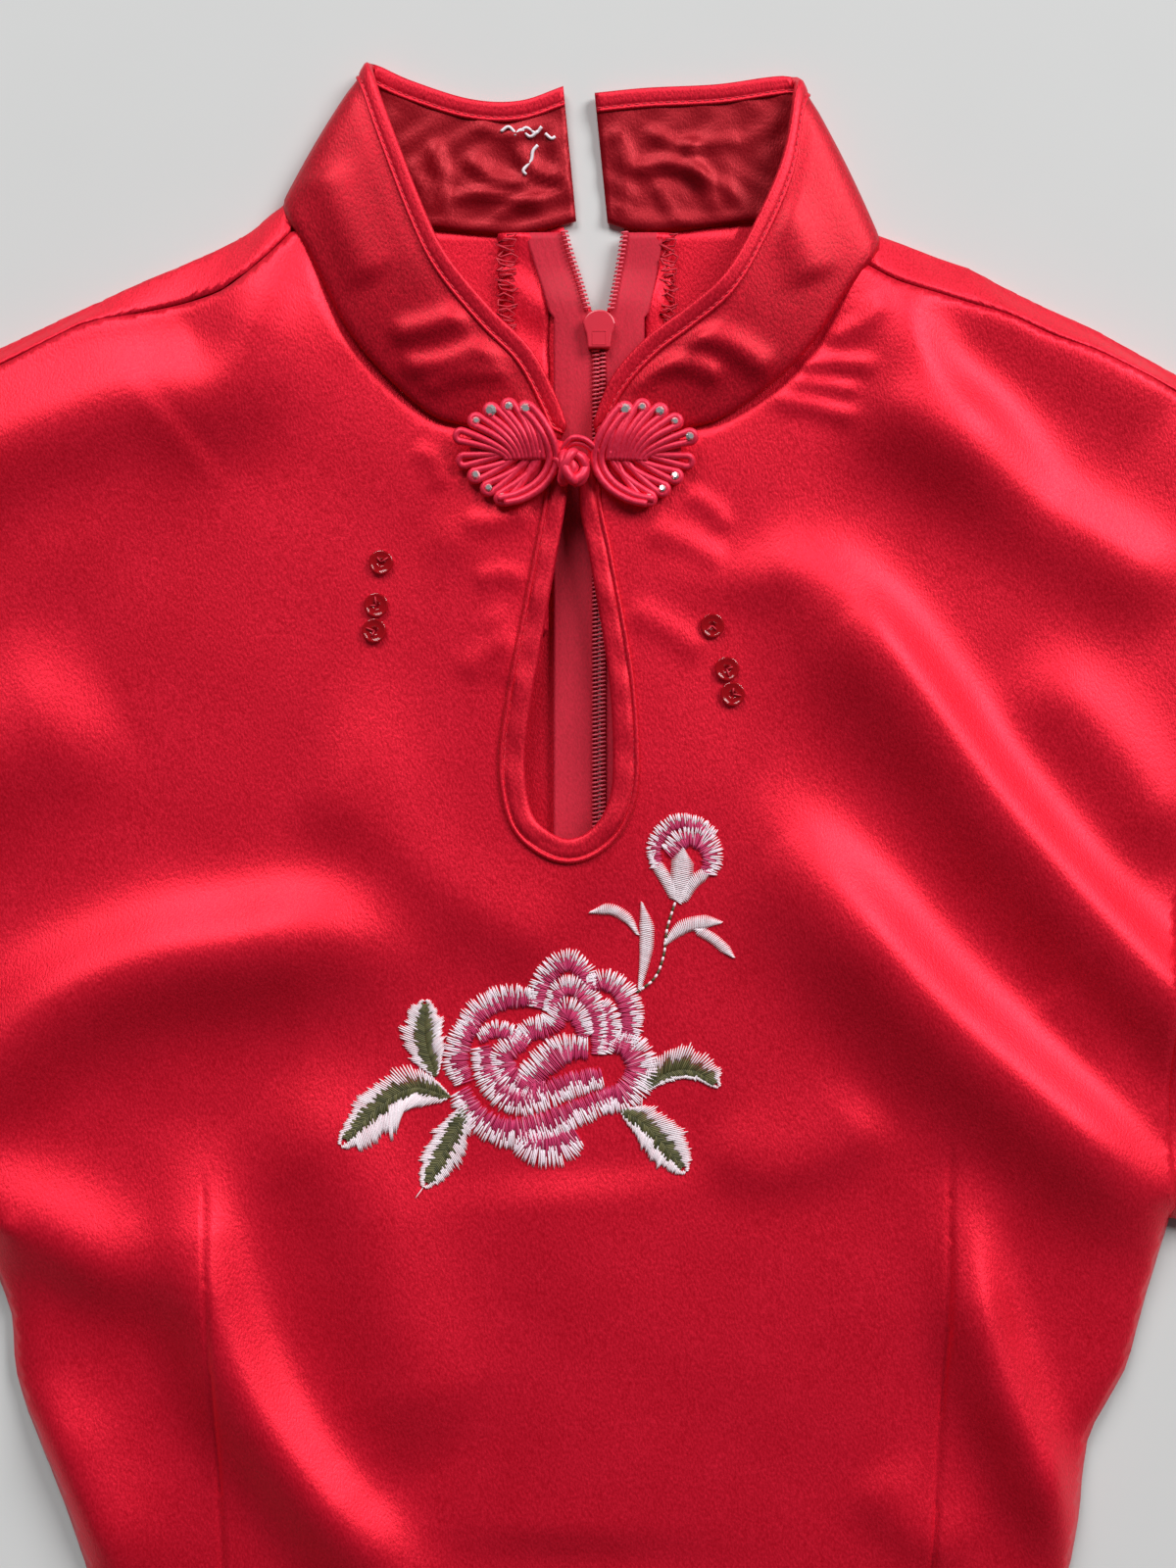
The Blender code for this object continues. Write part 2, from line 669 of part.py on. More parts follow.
def bound_edge(name, edge, inward, outward, wall, band, finish):
    """A binding wrapped round an edge: a channel section carried along it, shut at both ends."""
    reach = LAYER_GAP + BINDING_WALL
    section = (
        (band, LAYER_GAP),
        (-LAYER_GAP, LAYER_GAP),
        (-LAYER_GAP, -wall - LAYER_GAP),
        (band, -wall - LAYER_GAP),
        (band, -wall - reach),
        (-reach, -wall - reach),
        (-reach, reach),
        (band, reach),
    )
    rings = [[p + into * a + out * b for a, b in section] for p, into, out in zip(edge, inward, outward)]
    return lofted(name, rings, finish, smooth=False)


def collar_binding(name, rows, side, finish):
    seam, edge, _, outward = collar_ribs(rows, side)
    return bound_edge(name, edge, unit(seam - edge), outward, COLLAR_WALL, COLLAR_BAND - 1.2, finish)


def keyhole_binding(finish):
    """The faced edge of the keyhole, wrapped round its sides and its foot."""
    path, forward, away = keyhole_path()
    z = front_z(path[:, 0], path[:, 1])
    edge = np.column_stack([path, z])
    ahead = path + away * KEYHOLE_BAND
    inward = unit(np.column_stack([ahead, front_z(ahead[:, 0], ahead[:, 1])]) - edge)
    outward = np.cross(inward, np.column_stack([forward, np.gradient(z)]))
    outward = unit(np.where(outward[:, 2:] < 0, -outward, outward))
    return bound_edge("keyhole_binding", edge, inward, outward, WALL + 0.3, KEYHOLE_BAND - 1.2, finish)


# ---------------------------------------------------------------- frog
def frog_base_z(x, y):
    """The surface that the frog lies on: the front, and above its neck seam the ends of the collar."""
    return front_z(x, y) + 3 * LAYER_GAP + 3.1 * soft_step((np.asarray(y, float) + 12) / 12)


def frog_shell(name, sizes, side, finish):
    """A fan of corded lobes, as one pad with a scalloped outline."""
    cx, cy, rx, ry = sizes
    count = SHELL_LOBES * 4
    points = []
    for share, lift in ((1.0, 0.0), (1.0, 0.6), (0.86, 1.0), (0.45, 0.8)):
        for i in range(count):
            angle = 2 * math.pi * i / count
            scallop = 1 + 0.05 * abs(math.sin(angle * SHELL_LOBES / 2))
            inner = 1 - 0.22 * max(0.0, math.cos(angle) * -side) ** 2
            reach = share * scallop * inner
            x = cx + rx * reach * math.cos(angle)
            y = cy + ry * reach * math.sin(angle)
            points.append((x, y, float(frog_base_z(x, y)) + SHELL_THICK * lift))
    faces = grid_faces(4, count, closed=True)
    points.append((cx, cy, float(frog_base_z(cx, cy))))
    points.append((cx, cy, float(frog_base_z(cx, cy)) + SHELL_THICK * 0.7))
    foot, head = len(points) - 2, len(points) - 1
    for i in range(count):
        k = (i + 1) % count
        faces.append((i, k, foot))
        faces.append((3 * count + i, 3 * count + k, head))
    return recalculated(add_object(name, points, faces, finish))


def knot_button(finish):
    cx, cy, rx, ry, rz = KNOT
    bpy.ops.mesh.primitive_uv_sphere_add(segments=16, ring_count=10, radius=1)
    made = bpy.context.object
    made.name = made.data.name = "knot_button"
    for vertex in made.data.vertices:
        vertex.co.x *= rx * MM
        vertex.co.y *= ry * MM
        vertex.co.z *= rz * MM
    made.location = (cx * MM, cy * MM, (float(frog_base_z(cx, cy)) + rz + 0.8) * MM)
    made.parent = garment
    made.data.materials.append(finish)
    made.data.shade_smooth()
    return made


def frog_loop(finish):
    """The cord loop that holds the knot, as a bevelled curve."""
    path = smooth_path(LOOP_PATH, 1.6)
    data = bpy.data.curves.new("frog_loop", "CURVE")
    data.dimensions = "3D"
    data.bevel_depth = LOOP_RADIUS * MM
    data.bevel_resolution = 2
    data.use_fill_caps = True
    spline = data.splines.new("POLY")
    spline.points.add(len(path) - 1)
    for point, (x, y) in zip(spline.points, path):
        z = float(frog_base_z(x, y)) + LOOP_RADIUS + 0.9
        point.co = (x * MM, y * MM, z * MM, 1)
    data.materials.append(finish)
    made = bpy.data.objects.new("frog_loop", data)
    bpy.context.scene.collection.objects.link(made)
    made.parent = garment
    return made


# ---------------------------------------------------------------- zip
def tape_rows():
    near_neck = [57, 52, 46, 40, 37, 33, 29, 24, 18, 8, -4, -14, -24, -60]
    return np.array([*near_neck, *np.arange(-140, ZIP_END_Y, -85), ZIP_END_Y])


def tape_inner_x(y, side):
    return chain_x(y, side) if y > SLIDER_HIGH_Y + 0.4 else ZIP_X + side * TAPE_INNER


def zip_tape(name, side, finish):
    """A woven tape on the inside of the back, beside the chain."""
    across = (0, 0.3, 0.65, 1)
    points = []
    for y in tape_rows():
        inner = tape_inner_x(y, side)
        for share in across:
            x = inner + side * TAPE_WIDTH * share
            points.append((x, y, float(back_z(x, y)) + WALL + TAPE_LIFT + TAPE_WALL))
    faces = grid_faces(len(tape_rows()), len(across))
    if side > 0:
        faces = [face[::-1] for face in faces]
    return add_wall(add_object(name, points, faces, finish), TAPE_WALL)


def chain_base_z(x, y):
    return float(back_z(x, y)) + WALL + TAPE_LIFT + TAPE_WALL + LAYER_GAP


def bar_along(name, middles, half_width, height, finish):
    """A flat-footed bar with bevelled shoulders along a path: one half, or both, of the chain."""
    section = ((-1, 0), (1, 0), (1, 0.6), (0.6, 1), (-0.6, 1), (-1, 0.6))
    points = []
    for x, y in middles:
        base = chain_base_z(x, y)
        points += [(x + half_width * a, y, base + height * b) for a, b in section]
    count = len(section)
    faces = grid_faces(len(middles), count, closed=True)
    faces += [tuple(range(count)), tuple(range((len(middles) - 1) * count, len(middles) * count))]
    return recalculated(add_object(name, points, faces, finish))


def slider(finish):
    """The zip's slider: a body that tapers downwards, and under it a neck with an eye for the pull."""
    base = chain_base_z(ZIP_X, PULL_AXIS_Y)
    shape = bmesh.new()
    right = [(ZIP_X + width / 2, y) for y, width in SLIDER_ROWS]
    left = [(ZIP_X - width / 2, y) for y, width in SLIDER_ROWS[::-1]]
    loops = []
    for level in (0.0, SLIDER_HEIGHT):
        loops.append([shape.verts.new((x, y, base + level)) for x, y in right + left])
    count = len(loops[0])
    for i in range(count):
        k = (i + 1) % count
        shape.faces.new((loops[0][i], loops[0][k], loops[1][k], loops[1][i]))
    shape.faces.new(loops[0][::-1])
    top = shape.faces.new(loops[1])
    rim = list(top.edges)
    bmesh.ops.bevel(shape, geom=rim, offset=SLIDER_BEVEL, segments=2, profile=0.5, affect="EDGES")
    into_body = base + 0.4
    outer = ((-NECK_HALF, NECK_FOOT), (NECK_HALF, NECK_FOOT), (NECK_HALF, into_body), (-NECK_HALF, into_body))
    neck = bmesh.new()
    rings = []
    for x in (-NECK_THICK / 2, NECK_THICK / 2):
        for ring in (outer, NECK_EYE):
            rings.append([neck.verts.new((ZIP_X + x, PULL_AXIS_Y + y, z)) for y, z in ring])
    for i in range(4):
        k = (i + 1) % 4
        neck.faces.new((rings[0][i], rings[0][k], rings[1][k], rings[1][i]))
        neck.faces.new((rings[2][i], rings[2][k], rings[3][k], rings[3][i]))
        neck.faces.new((rings[0][i], rings[0][k], rings[2][k], rings[2][i]))
        neck.faces.new((rings[1][i], rings[1][k], rings[3][k], rings[3][i]))
    made = []
    for name, part in (("zip_slider", shape), ("slider_neck", neck)):
        bmesh.ops.recalc_face_normals(part, faces=part.faces)
        bmesh.ops.scale(part, vec=(MM, MM, MM), verts=part.verts)
        mesh = bpy.data.meshes.new(name)
        part.to_mesh(mesh)
        part.free()
        mesh.materials.append(finish)
        body = bpy.data.objects.new(name, mesh)
        bpy.context.scene.collection.objects.link(body)
        body.parent = garment
        made.append(body)
    made[1].hide_render = True
    made[1].display_type = "WIRE"
    union = made[0].modifiers.new("neck", "BOOLEAN")
    union.operation = "UNION"
    union.object = made[1]
    return made[0]


def zip_pull(finish):
    """The pull tab under the cloth, hung on the slider's eye.

    Its origin is on the pin that it swings about.
    """
    half = PULL_WIDTH / 2
    tip = PULL_LENGTH
    right = (
        (PULL_ARM_IN, -PULL_WINDOW),
        (PULL_ARM_IN, PULL_BAR),
        (PULL_ARM_OUT, PULL_BAR),
        (PULL_ARM_OUT, -PULL_WINDOW + 1),
        (half, -PULL_WINDOW - 4),
        (half, -tip + 4),
        (half * 0.7, -tip + 1.2),
        (half * 0.3, -tip),
    )
    outline = (*right, *[(-x, y) for x, y in right[::-1]])
    shape = bmesh.new()
    loops = []
    for level in (-PULL_THICK / 2, PULL_THICK / 2):
        loops.append([shape.verts.new((x * MM, y * MM, level * MM)) for x, y in outline])
    count = len(outline)
    for i in range(count):
        k = (i + 1) % count
        shape.faces.new((loops[0][i], loops[0][k], loops[1][k], loops[1][i]))
    shape.faces.new(loops[0][::-1])
    shape.faces.new(loops[1])
    bmesh.ops.recalc_face_normals(shape, faces=shape.faces)
    mesh = bpy.data.meshes.new("zip_pull")
    shape.to_mesh(mesh)
    shape.free()
    mesh.materials.append(finish)
    made = bpy.data.objects.new("zip_pull", mesh)
    bpy.context.scene.collection.objects.link(made)
    made.location = (ZIP_X * MM, PULL_AXIS_Y * MM, PULL_AXIS_Z * MM)
    made.parent = garment
    bpy.ops.mesh.primitive_cylinder_add(vertices=12, radius=PULL_BAR * MM, depth=2 * PULL_ARM_OUT * MM)
    pin = bpy.context.object
    pin.name = "pull_pin"
    pin.rotation_euler = (0, math.pi / 2, 0)
    pin.parent = made
    pin.hide_render = True
    pin.display_type = "WIRE"
    union = made.modifiers.new("pin", "BOOLEAN")
    union.operation = "UNION"
    union.object = pin
    return made


def build_zip(tape_finish, chain_finish, slider_finish):
    for name, side in (("left", -1), ("right", 1)):
        zip_tape(f"zip_tape_{name}", side, tape_finish)
        open_y = np.array([37.4, 41, 45, 50, 54, 57])
        middles = [(chain_x(y, side) + side * 0.4, y) for y in open_y]
        bar_along(f"zip_coil_{name}", middles, COIL_WIDTH / 2, COIL_HEIGHT, chain_finish)
    shut_y = [24.6, 18, 8, -4, -14, -24, -60, *np.arange(-150, ZIP_END_Y + 20, -110), ZIP_END_Y + 8]
    bar_along("zip_chain", [(ZIP_X, y) for y in shut_y], CHAIN_WIDTH / 2, COIL_HEIGHT, chain_finish)
    stop = [(ZIP_X, ZIP_END_Y + 7.4), (ZIP_X, ZIP_END_Y + 2.4)]
    bar_along("zip_bottom_stop", stop, CHAIN_WIDTH / 2 + 0.4, COIL_HEIGHT + 0.4, slider_finish)
    slider(slider_finish)
    zip_pull(slider_finish)


# ---------------------------------------------------------------- the whole dress
def build():
    global garment
    for old in list(bpy.data.objects):
        bpy.data.objects.remove(old)
    garment = bpy.data.objects.new("garment", None)
    garment.location = (-CENTRE[0] * MM, -CENTRE[1] * MM, 0)
    bpy.context.scene.collection.objects.link(garment)
    satin = material("red_satin", (0.56, 0.008, 0.022), 0.32)
    cord = material("satin_cord", (0.40, 0.006, 0.016), 0.38)
    tape = material("zip_tape_cloth", (0.42, 0.012, 0.020), 0.8)
    coil = material("nylon_coil", (0.50, 0.02, 0.03), 0.45)
    plastic = material("painted_slider", (0.78, 0.05, 0.06), 0.35)
    front_panel(satin)
    back_panel("back_left", -1, satin)
    back_panel("back_right", 1, satin)
    sleeve("sleeve_left", -1, satin)
    sleeve("sleeve_right", 1, satin)
    collar("collar_left", COLLAR_LEFT, -1, satin)
    collar("collar_right", COLLAR_RIGHT, 1, satin)
    collar_binding("collar_binding_left", COLLAR_LEFT, -1, satin)
    collar_binding("collar_binding_right", COLLAR_RIGHT, 1, satin)
    keyhole_binding(satin)
    frog_shell("frog_shell_left", SHELL_LEFT, -1, cord)
    frog_shell("frog_shell_right", SHELL_RIGHT, 1, cord)
    knot_button(cord)
    frog_loop(cord)
    build_zip(tape, coil, plastic)


build()
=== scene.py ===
# %% [markdown]
# # A red satin cheongsam, laid flat on its back
#
# A cheongsam is cut from few pieces: one front, two backs that meet at a zip, two short sleeves and a
# stand collar in halves. Here each is a thin shell with the folds that the cloth fell into, and the hard
# and sewn-on things (the zip, the corded frog, the sequins, the embroidery) are small solids laid on it.
# The frame holds the same pieces as plain solids, so everything below is measured in its millimetres.

# %% Load the frame
import math

import bmesh
import bpy
import numpy as np
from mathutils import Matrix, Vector
from mathutils.geometry import delaunay_2d_cdt


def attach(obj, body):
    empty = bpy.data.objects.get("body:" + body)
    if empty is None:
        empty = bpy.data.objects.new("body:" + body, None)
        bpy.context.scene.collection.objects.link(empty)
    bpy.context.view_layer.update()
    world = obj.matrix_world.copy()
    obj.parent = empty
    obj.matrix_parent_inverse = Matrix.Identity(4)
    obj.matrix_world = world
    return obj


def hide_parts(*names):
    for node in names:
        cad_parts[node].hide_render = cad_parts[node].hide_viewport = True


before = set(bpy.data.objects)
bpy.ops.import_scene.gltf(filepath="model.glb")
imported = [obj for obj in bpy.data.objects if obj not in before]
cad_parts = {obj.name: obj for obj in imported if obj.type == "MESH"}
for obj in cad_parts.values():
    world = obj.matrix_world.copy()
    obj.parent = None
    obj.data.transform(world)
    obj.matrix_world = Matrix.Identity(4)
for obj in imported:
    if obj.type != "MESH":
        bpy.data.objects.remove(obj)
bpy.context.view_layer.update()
random = np.random.default_rng(11)
ORIGIN = np.array([2.0, -395.2, 0.0])


def place(points):
    """Garment millimetres to metres in the frame."""
    return (np.asarray(points, float) - ORIGIN) * 0.001


# %% [markdown]
# ## Curves, sheets and tubes
#
# Most shapes here are one of three: a sheet cut to an outline, a ring of points carried along a path, or
# a tube. A smooth curve through a few measured points is easier to change than a long list of them, so
# outlines, seams and folds are all kept as a handful of points.

# %% Helpers for paths
SAME_PLACE = 0.05  # points nearer than this are one


def smooth_path(rows, step):
    """A smooth curve through the rows' points, with a point about every step."""
    rows = np.array(rows, float)
    ends = np.vstack([2 * rows[0] - rows[1], rows, 2 * rows[-1] - rows[-2]])
    points = []
    for a, b, c, d in zip(ends, ends[1:], ends[2:], ends[3:]):
        count = max(1, round(np.linalg.norm((c - b)[:2]) / step))
        for i in range(count):
            t = i / count
            bend = 2 * a - 5 * b + 4 * c - d
            twist = 3 * b - a - 3 * c + d
            points.append(0.5 * (2 * b + (c - a) * t + bend * t**2 + twist * t**3))
    points.append(rows[-1])
    return np.array(points)


def evenly(path, step):
    """The same path with its points the same distance apart."""
    gaps = np.linalg.norm(np.diff(path, axis=0), axis=1)
    along = np.concatenate([[0], np.cumsum(gaps)])
    places = np.linspace(0, along[-1], max(2, round(along[-1] / step) + 1))
    return np.column_stack([np.interp(places, along, path[:, k]) for k in range(path.shape[1])])


def soft_step(value):
    """0 below 0 and 1 above 1, with a smooth rise between."""
    value = np.clip(value, 0, 1)
    return value * value * (3 - 2 * value)


def unit(vectors):
    return vectors / np.maximum(np.linalg.norm(vectors, axis=-1, keepdims=True), 1e-9)


def left_of(path):
    """At each point of a path, the direction square to it on its left."""
    ahead = unit(np.gradient(path, axis=0))
    return np.column_stack([-ahead[:, 1], ahead[:, 0]])


def path_distance(x, y, path):
    """Distance to a path, how far along the nearest place is (0 to 1), and which side it is on (+1 left)."""
    x = np.asarray(x, float)
    y = np.asarray(y, float)
    best = np.full(x.shape, np.inf)
    along = np.zeros(x.shape)
    side = np.ones(x.shape)
    count = len(path) - 1
    for i in range(count):
        (ax, ay), (bx, by) = path[i], path[i + 1]
        dx, dy = bx - ax, by - ay
        t = np.clip(((x - ax) * dx + (y - ay) * dy) / max(dx * dx + dy * dy, 1e-9), 0, 1)
        distance = np.hypot(x - ax - t * dx, y - ay - t * dy)
        nearer = distance < best
        best = np.where(nearer, distance, best)
        along = np.where(nearer, (i + t) / count, along)
        side = np.where(nearer, np.sign(dx * (y - ay) - dy * (x - ax)), side)
    return best, along, side


def inside(x, y, outline):
    """Whether places are inside a closed outline."""
    hit = np.zeros(np.shape(x), bool)
    for (ax, ay), (bx, by) in zip(outline, np.roll(outline, -1, axis=0)):
        crosses = (ay > y) != (by > y)
        with np.errstate(divide="ignore", invalid="ignore"):
            at = ax + (y - ay) * (bx - ax) / (by - ay)
        hit ^= crosses & (x < at)
    return hit


def joined(*paths):
    """Paths end to end as one closed outline, without doubled points."""
    points = [paths[0][0]]
    for path in paths:
        for point in path:
            if np.hypot(*(np.array(point) - points[-1])) > SAME_PLACE:
                points.append(np.array(point))
    if np.hypot(*(points[0] - points[-1])) < SAME_PLACE:
        points.pop()
    return np.array(points)


# %% Helpers for meshes


def linked(name, data):
    """A new object in the scene."""
    made = bpy.data.objects.new(name, data)
    bpy.context.scene.collection.objects.link(made)
    return made


def face_outwards(mesh):
    shape = bmesh.new()
    shape.from_mesh(mesh)
    bmesh.ops.recalc_face_normals(shape, faces=shape.faces)
    shape.to_mesh(mesh)
    shape.free()


def face_up(made):
    """Turns an open sheet over if it looks down."""
    if made.data.polygons[0].normal.z < 0:
        made.data.flip_normals()
    return made


def grid_faces(rows, columns, closed=False):
    """Faces between rows of points, which meet round the back if closed."""
    faces = []
    for i in range(rows - 1):
        for j in range(columns if closed else columns - 1):
            k = (j + 1) % columns
            faces.append((i * columns + j, i * columns + k, (i + 1) * columns + k, (i + 1) * columns + j))
    return faces


def make(name, points, faces, finish, smooth=True, outwards=False):
    """A plain mesh object from garment millimetres."""
    mesh = bpy.data.meshes.new(name)
    mesh.from_pydata([tuple(p) for p in place(points).tolist()], [], [tuple(map(int, f)) for f in faces])
    mesh.materials.append(finish)
    if outwards:
        face_outwards(mesh)
    if smooth:
        mesh.shade_smooth()
    return linked(name, mesh)


def baked(made):
    """Turns an object with modifiers into a plain mesh."""
    bpy.context.view_layer.update()
    graph = bpy.context.evaluated_depsgraph_get()
    mesh = bpy.data.meshes.new_from_object(made.evaluated_get(graph))
    made.modifiers.clear()
    made.data = mesh
    mesh.name = made.name
    return made


def walled(made, wall):
    """Gives a sheet its thickness, downwards from the face it was made with."""
    solid = made.modifiers.new("wall", "SOLIDIFY")
    solid.thickness = wall * 0.001
    solid.offset = -1
    return baked(made)


def sheet_points(outline, extra, spacing_of, most, clear=()):
    """Triangles over an outline with points spaced as spacing_of says."""
    low, high = outline.min(axis=0), outline.max(axis=0)
    grid = []
    y, shift = low[1], False
    while y < high[1]:
        spacing = spacing_of(y)
        xs = np.arange(low[0] + (spacing / 2 if shift else 0), high[0], spacing)
        grid.append(np.column_stack([xs, np.full(len(xs), y)]))
        y += 0.87 * spacing
        shift = not shift
    grid = np.vstack(grid)
    rooms = np.array([0.55 * spacing_of(y) for y in grid[:, 1]])
    distance = path_distance(grid[:, 0], grid[:, 1], np.vstack([outline, outline[:1]]))[0]
    grid = grid[inside(grid[:, 0], grid[:, 1], outline) & (distance > rooms)]
    for path in clear:
        grid = grid[path_distance(grid[:, 0], grid[:, 1], path)[0] > 3]
    points = np.vstack([outline, grid, extra])
    rim = [(i, (i + 1) % len(outline)) for i in range(len(outline))]
    flat = delaunay_2d_cdt([Vector(p) for p in points.tolist()], rim, [], 0, 1e-6)
    verts = np.array([tuple(v) for v in flat[0]])
    faces = np.array([f for f in flat[2] if len(f) == 3])
    middle = verts[faces].mean(axis=1)
    faces = faces[inside(middle[:, 0], middle[:, 1], outline)]
    a, b, c = (verts[faces[:, k]] for k in range(3))
    turned = (b - a)[:, 0] * (c - a)[:, 1] - (b - a)[:, 1] * (c - a)[:, 0] < 0
    faces[turned] = faces[turned][:, ::-1]
    assert len(faces) * 2 < most, len(faces)
    return verts, faces


def tube_parts(path, radius, sides=7, closed=False):
    """Points and faces of a tube along a path."""
    path = np.array(path, float)
    count = len(path)
    radius = np.broadcast_to(np.asarray(radius, float), (count,))
    if closed:
        forward = unit(np.roll(path, -1, axis=0) - np.roll(path, 1, axis=0))
    else:
        forward = unit(np.gradient(path, axis=0))
    up = np.array([0.0, 0.0, 1.0])
    across = np.cross(forward, up)
    weak = np.linalg.norm(across, axis=1) < 0.15
    across[weak] = np.cross(forward[weak], [1.0, 0.3, 0.0])
    across = unit(across)
    over = unit(np.cross(across, forward))
    turn = np.linspace(0, 2 * math.pi, sides, endpoint=False)
    rings = (
        path[:, None]
        + radius[:, None, None] * (
            np.cos(turn)[None, :, None] * across[:, None] + np.sin(turn)[None, :, None] * over[:, None]
        )
    )
    points = rings.reshape(-1, 3)
    faces = grid_faces(count, sides, closed=True)
    if closed:
        last = (count - 1) * sides
        faces += [(last + j, last + (j + 1) % sides, (j + 1) % sides, j) for j in range(sides)]
    else:
        faces += [tuple(range(sides)), tuple(range((count - 1) * sides, count * sides))[::-1]]
    return points, faces


def merged(parts):
    """Several lots of points and faces as one."""
    points, faces, start = [], [], 0
    for some_points, some_faces in parts:
        points.append(some_points)
        faces += [tuple(start + k for k in face) for face in some_faces]
        start += len(some_points)
    return np.vstack(points), faces


# %% [markdown]
# ## Repeating small things
#
# Stitches, threads, zip teeth and stones are the same shape many times. A small node tree puts a shape on
# each point of a mesh, turned and stretched by attributes that the point carries, and then makes it all
# real. A tree is shorter and far quicker than a loop that builds each one, and its result is an ordinary
# mesh.

# %% A node tree that repeats a shape


def repeat_tree():
    tree = bpy.data.node_groups.new("repeat_on_points", "GeometryNodeTree")
    face = tree.interface
    face.new_socket("Geometry", in_out="INPUT", socket_type="NodeSocketGeometry")
    shape = face.new_socket("Shape", in_out="INPUT", socket_type="NodeSocketObject")
    finish = face.new_socket("Finish", in_out="INPUT", socket_type="NodeSocketMaterial")
    face.new_socket("Geometry", in_out="OUTPUT", socket_type="NodeSocketGeometry")
    nodes, links = tree.nodes, tree.links
    start, end = nodes.new("NodeGroupInput"), nodes.new("NodeGroupOutput")
    info = nodes.new("GeometryNodeObjectInfo")
    spread = nodes.new("GeometryNodeInstanceOnPoints")
    real = nodes.new("GeometryNodeRealizeInstances")
    paint = nodes.new("GeometryNodeSetMaterial")
    for name, socket in (("turn", "Rotation"), ("size", "Scale")):
        read = nodes.new("GeometryNodeInputNamedAttribute")
        read.data_type = "FLOAT_VECTOR"
        read.inputs["Name"].default_value = name
        links.new(read.outputs["Attribute"], spread.inputs[socket])
    links.new(start.outputs["Shape"], info.inputs["Object"])
    links.new(start.outputs["Geometry"], spread.inputs["Points"])
    links.new(info.outputs["Geometry"], spread.inputs["Instance"])
    links.new(spread.outputs["Instances"], real.inputs["Geometry"])
    links.new(real.outputs["Geometry"], paint.inputs["Geometry"])
    links.new(start.outputs["Finish"], paint.inputs["Material"])
    links.new(paint.outputs["Geometry"], end.inputs["Geometry"])
    return tree, shape.identifier, finish.identifier


REPEAT, SHAPE_KEY, FINISH_KEY = repeat_tree()


def repeated(name, shape, points, turns, sizes, finish, shades=None, smooth=True):
    """One mesh of a shape repeated on points. Sizes multiply the shape; shades go to the attribute."""
    mesh = bpy.data.meshes.new(name)
    mesh.from_pydata([tuple(p) for p in place(points).tolist()], [], [])
    for key, values in (("turn", turns), ("size", sizes)):
        layer = mesh.attributes.new(key, "FLOAT_VECTOR", "POINT")
        layer.data.foreach_set("vector", np.asarray(values, np.float32).ravel())
    layer = mesh.attributes.new("shade", "FLOAT", "POINT")
    values = np.zeros(len(points)) if shades is None else np.asarray(shades)
    layer.data.foreach_set("value", values.astype(np.float32))
    made = linked(name, mesh)
    repeat = made.modifiers.new("repeat", "NODES")
    repeat.node_group = REPEAT
    repeat[SHAPE_KEY] = shape
    repeat[FINISH_KEY] = finish
    baked(made)
    if smooth:
        made.data.shade_smooth()
    return made


def template(name, points, faces):
    """A small shape to repeat, in metres about the origin. It is kept out of the render."""
    mesh = bpy.data.meshes.new(name)
    mesh.from_pydata([tuple(p) for p in (np.asarray(points, float) * 0.001).tolist()], [], faces)
    face_outwards(mesh)
    made = linked(name, mesh)
    made.hide_render = True
    made.hide_viewport = True
    return made


def thread_shape(name, rings, sides, arch):
    """A thread 1 long and 1 across that rises by arch in its middle and thins at its ends."""
    t = np.linspace(-0.5, 0.5, rings)
    thick = np.sqrt(np.clip(1 - (2 * t) ** 6, 0.12, 1))
    points = []
    for x, r in zip(t, thick):
        rise = arch * (1 - 4 * x * x)
        for k in range(sides):
            turn = 2 * math.pi * (k + 0.5) / sides
            points.append((x, 0.5 * r * math.cos(turn), 0.5 * r * math.sin(turn) + rise))
    faces = grid_faces(rings, sides, closed=True)
    faces += [tuple(range(sides)), tuple(range((rings - 1) * sides, rings * sides))]
    return template(name, points, faces)


THREAD = thread_shape("thread_shape", 5, 5, 0.5)
STITCH = thread_shape("stitch_shape", 5, 6, 0.25)


def between(starts, ends):
    """Middles, turns and lengths that lay a shape's x axis from starts to ends."""
    run = ends - starts
    flat = np.hypot(run[:, 0], run[:, 1])
    turns = np.column_stack(
        [np.zeros(len(run)), -np.arctan2(run[:, 2], flat), np.arctan2(run[:, 1], run[:, 0])]
    )
    return (starts + ends) / 2, turns, np.linalg.norm(run, axis=1)


# %% [markdown]
# ## Finishes
#
# Satin is woven so that long threads float on its face. Light slides along them, so it shines broadly and
# the shine takes the cloth's own colour, more like metal than like paint. So its shader is part metallic,
# with a fine slanting weave pressed in as bump. Thread is duller. The sequins and the stones let light
# through or throw it back.

# %% Shader helper


class Val:
    """A shader socket that can be added, multiplied and so on."""

    def __init__(self, shade, socket):
        self.shade, self.socket = shade, socket

    def math(self, operation, other=None, swap=False):
        ends = [self, other] if other is not None else [self]
        if swap:
            ends = ends[::-1]
        return self.shade.node("ShaderNodeMath", {"operation": operation}, ends)

    def __add__(self, other):
        return self.math("ADD", other)

    __radd__ = __add__

    def __mul__(self, other):
        return self.math("MULTIPLY", other)

    __rmul__ = __mul__

    def __sub__(self, other):
        return self.math("SUBTRACT", other)

    def __rsub__(self, other):
        return self.math("SUBTRACT", other, swap=True)


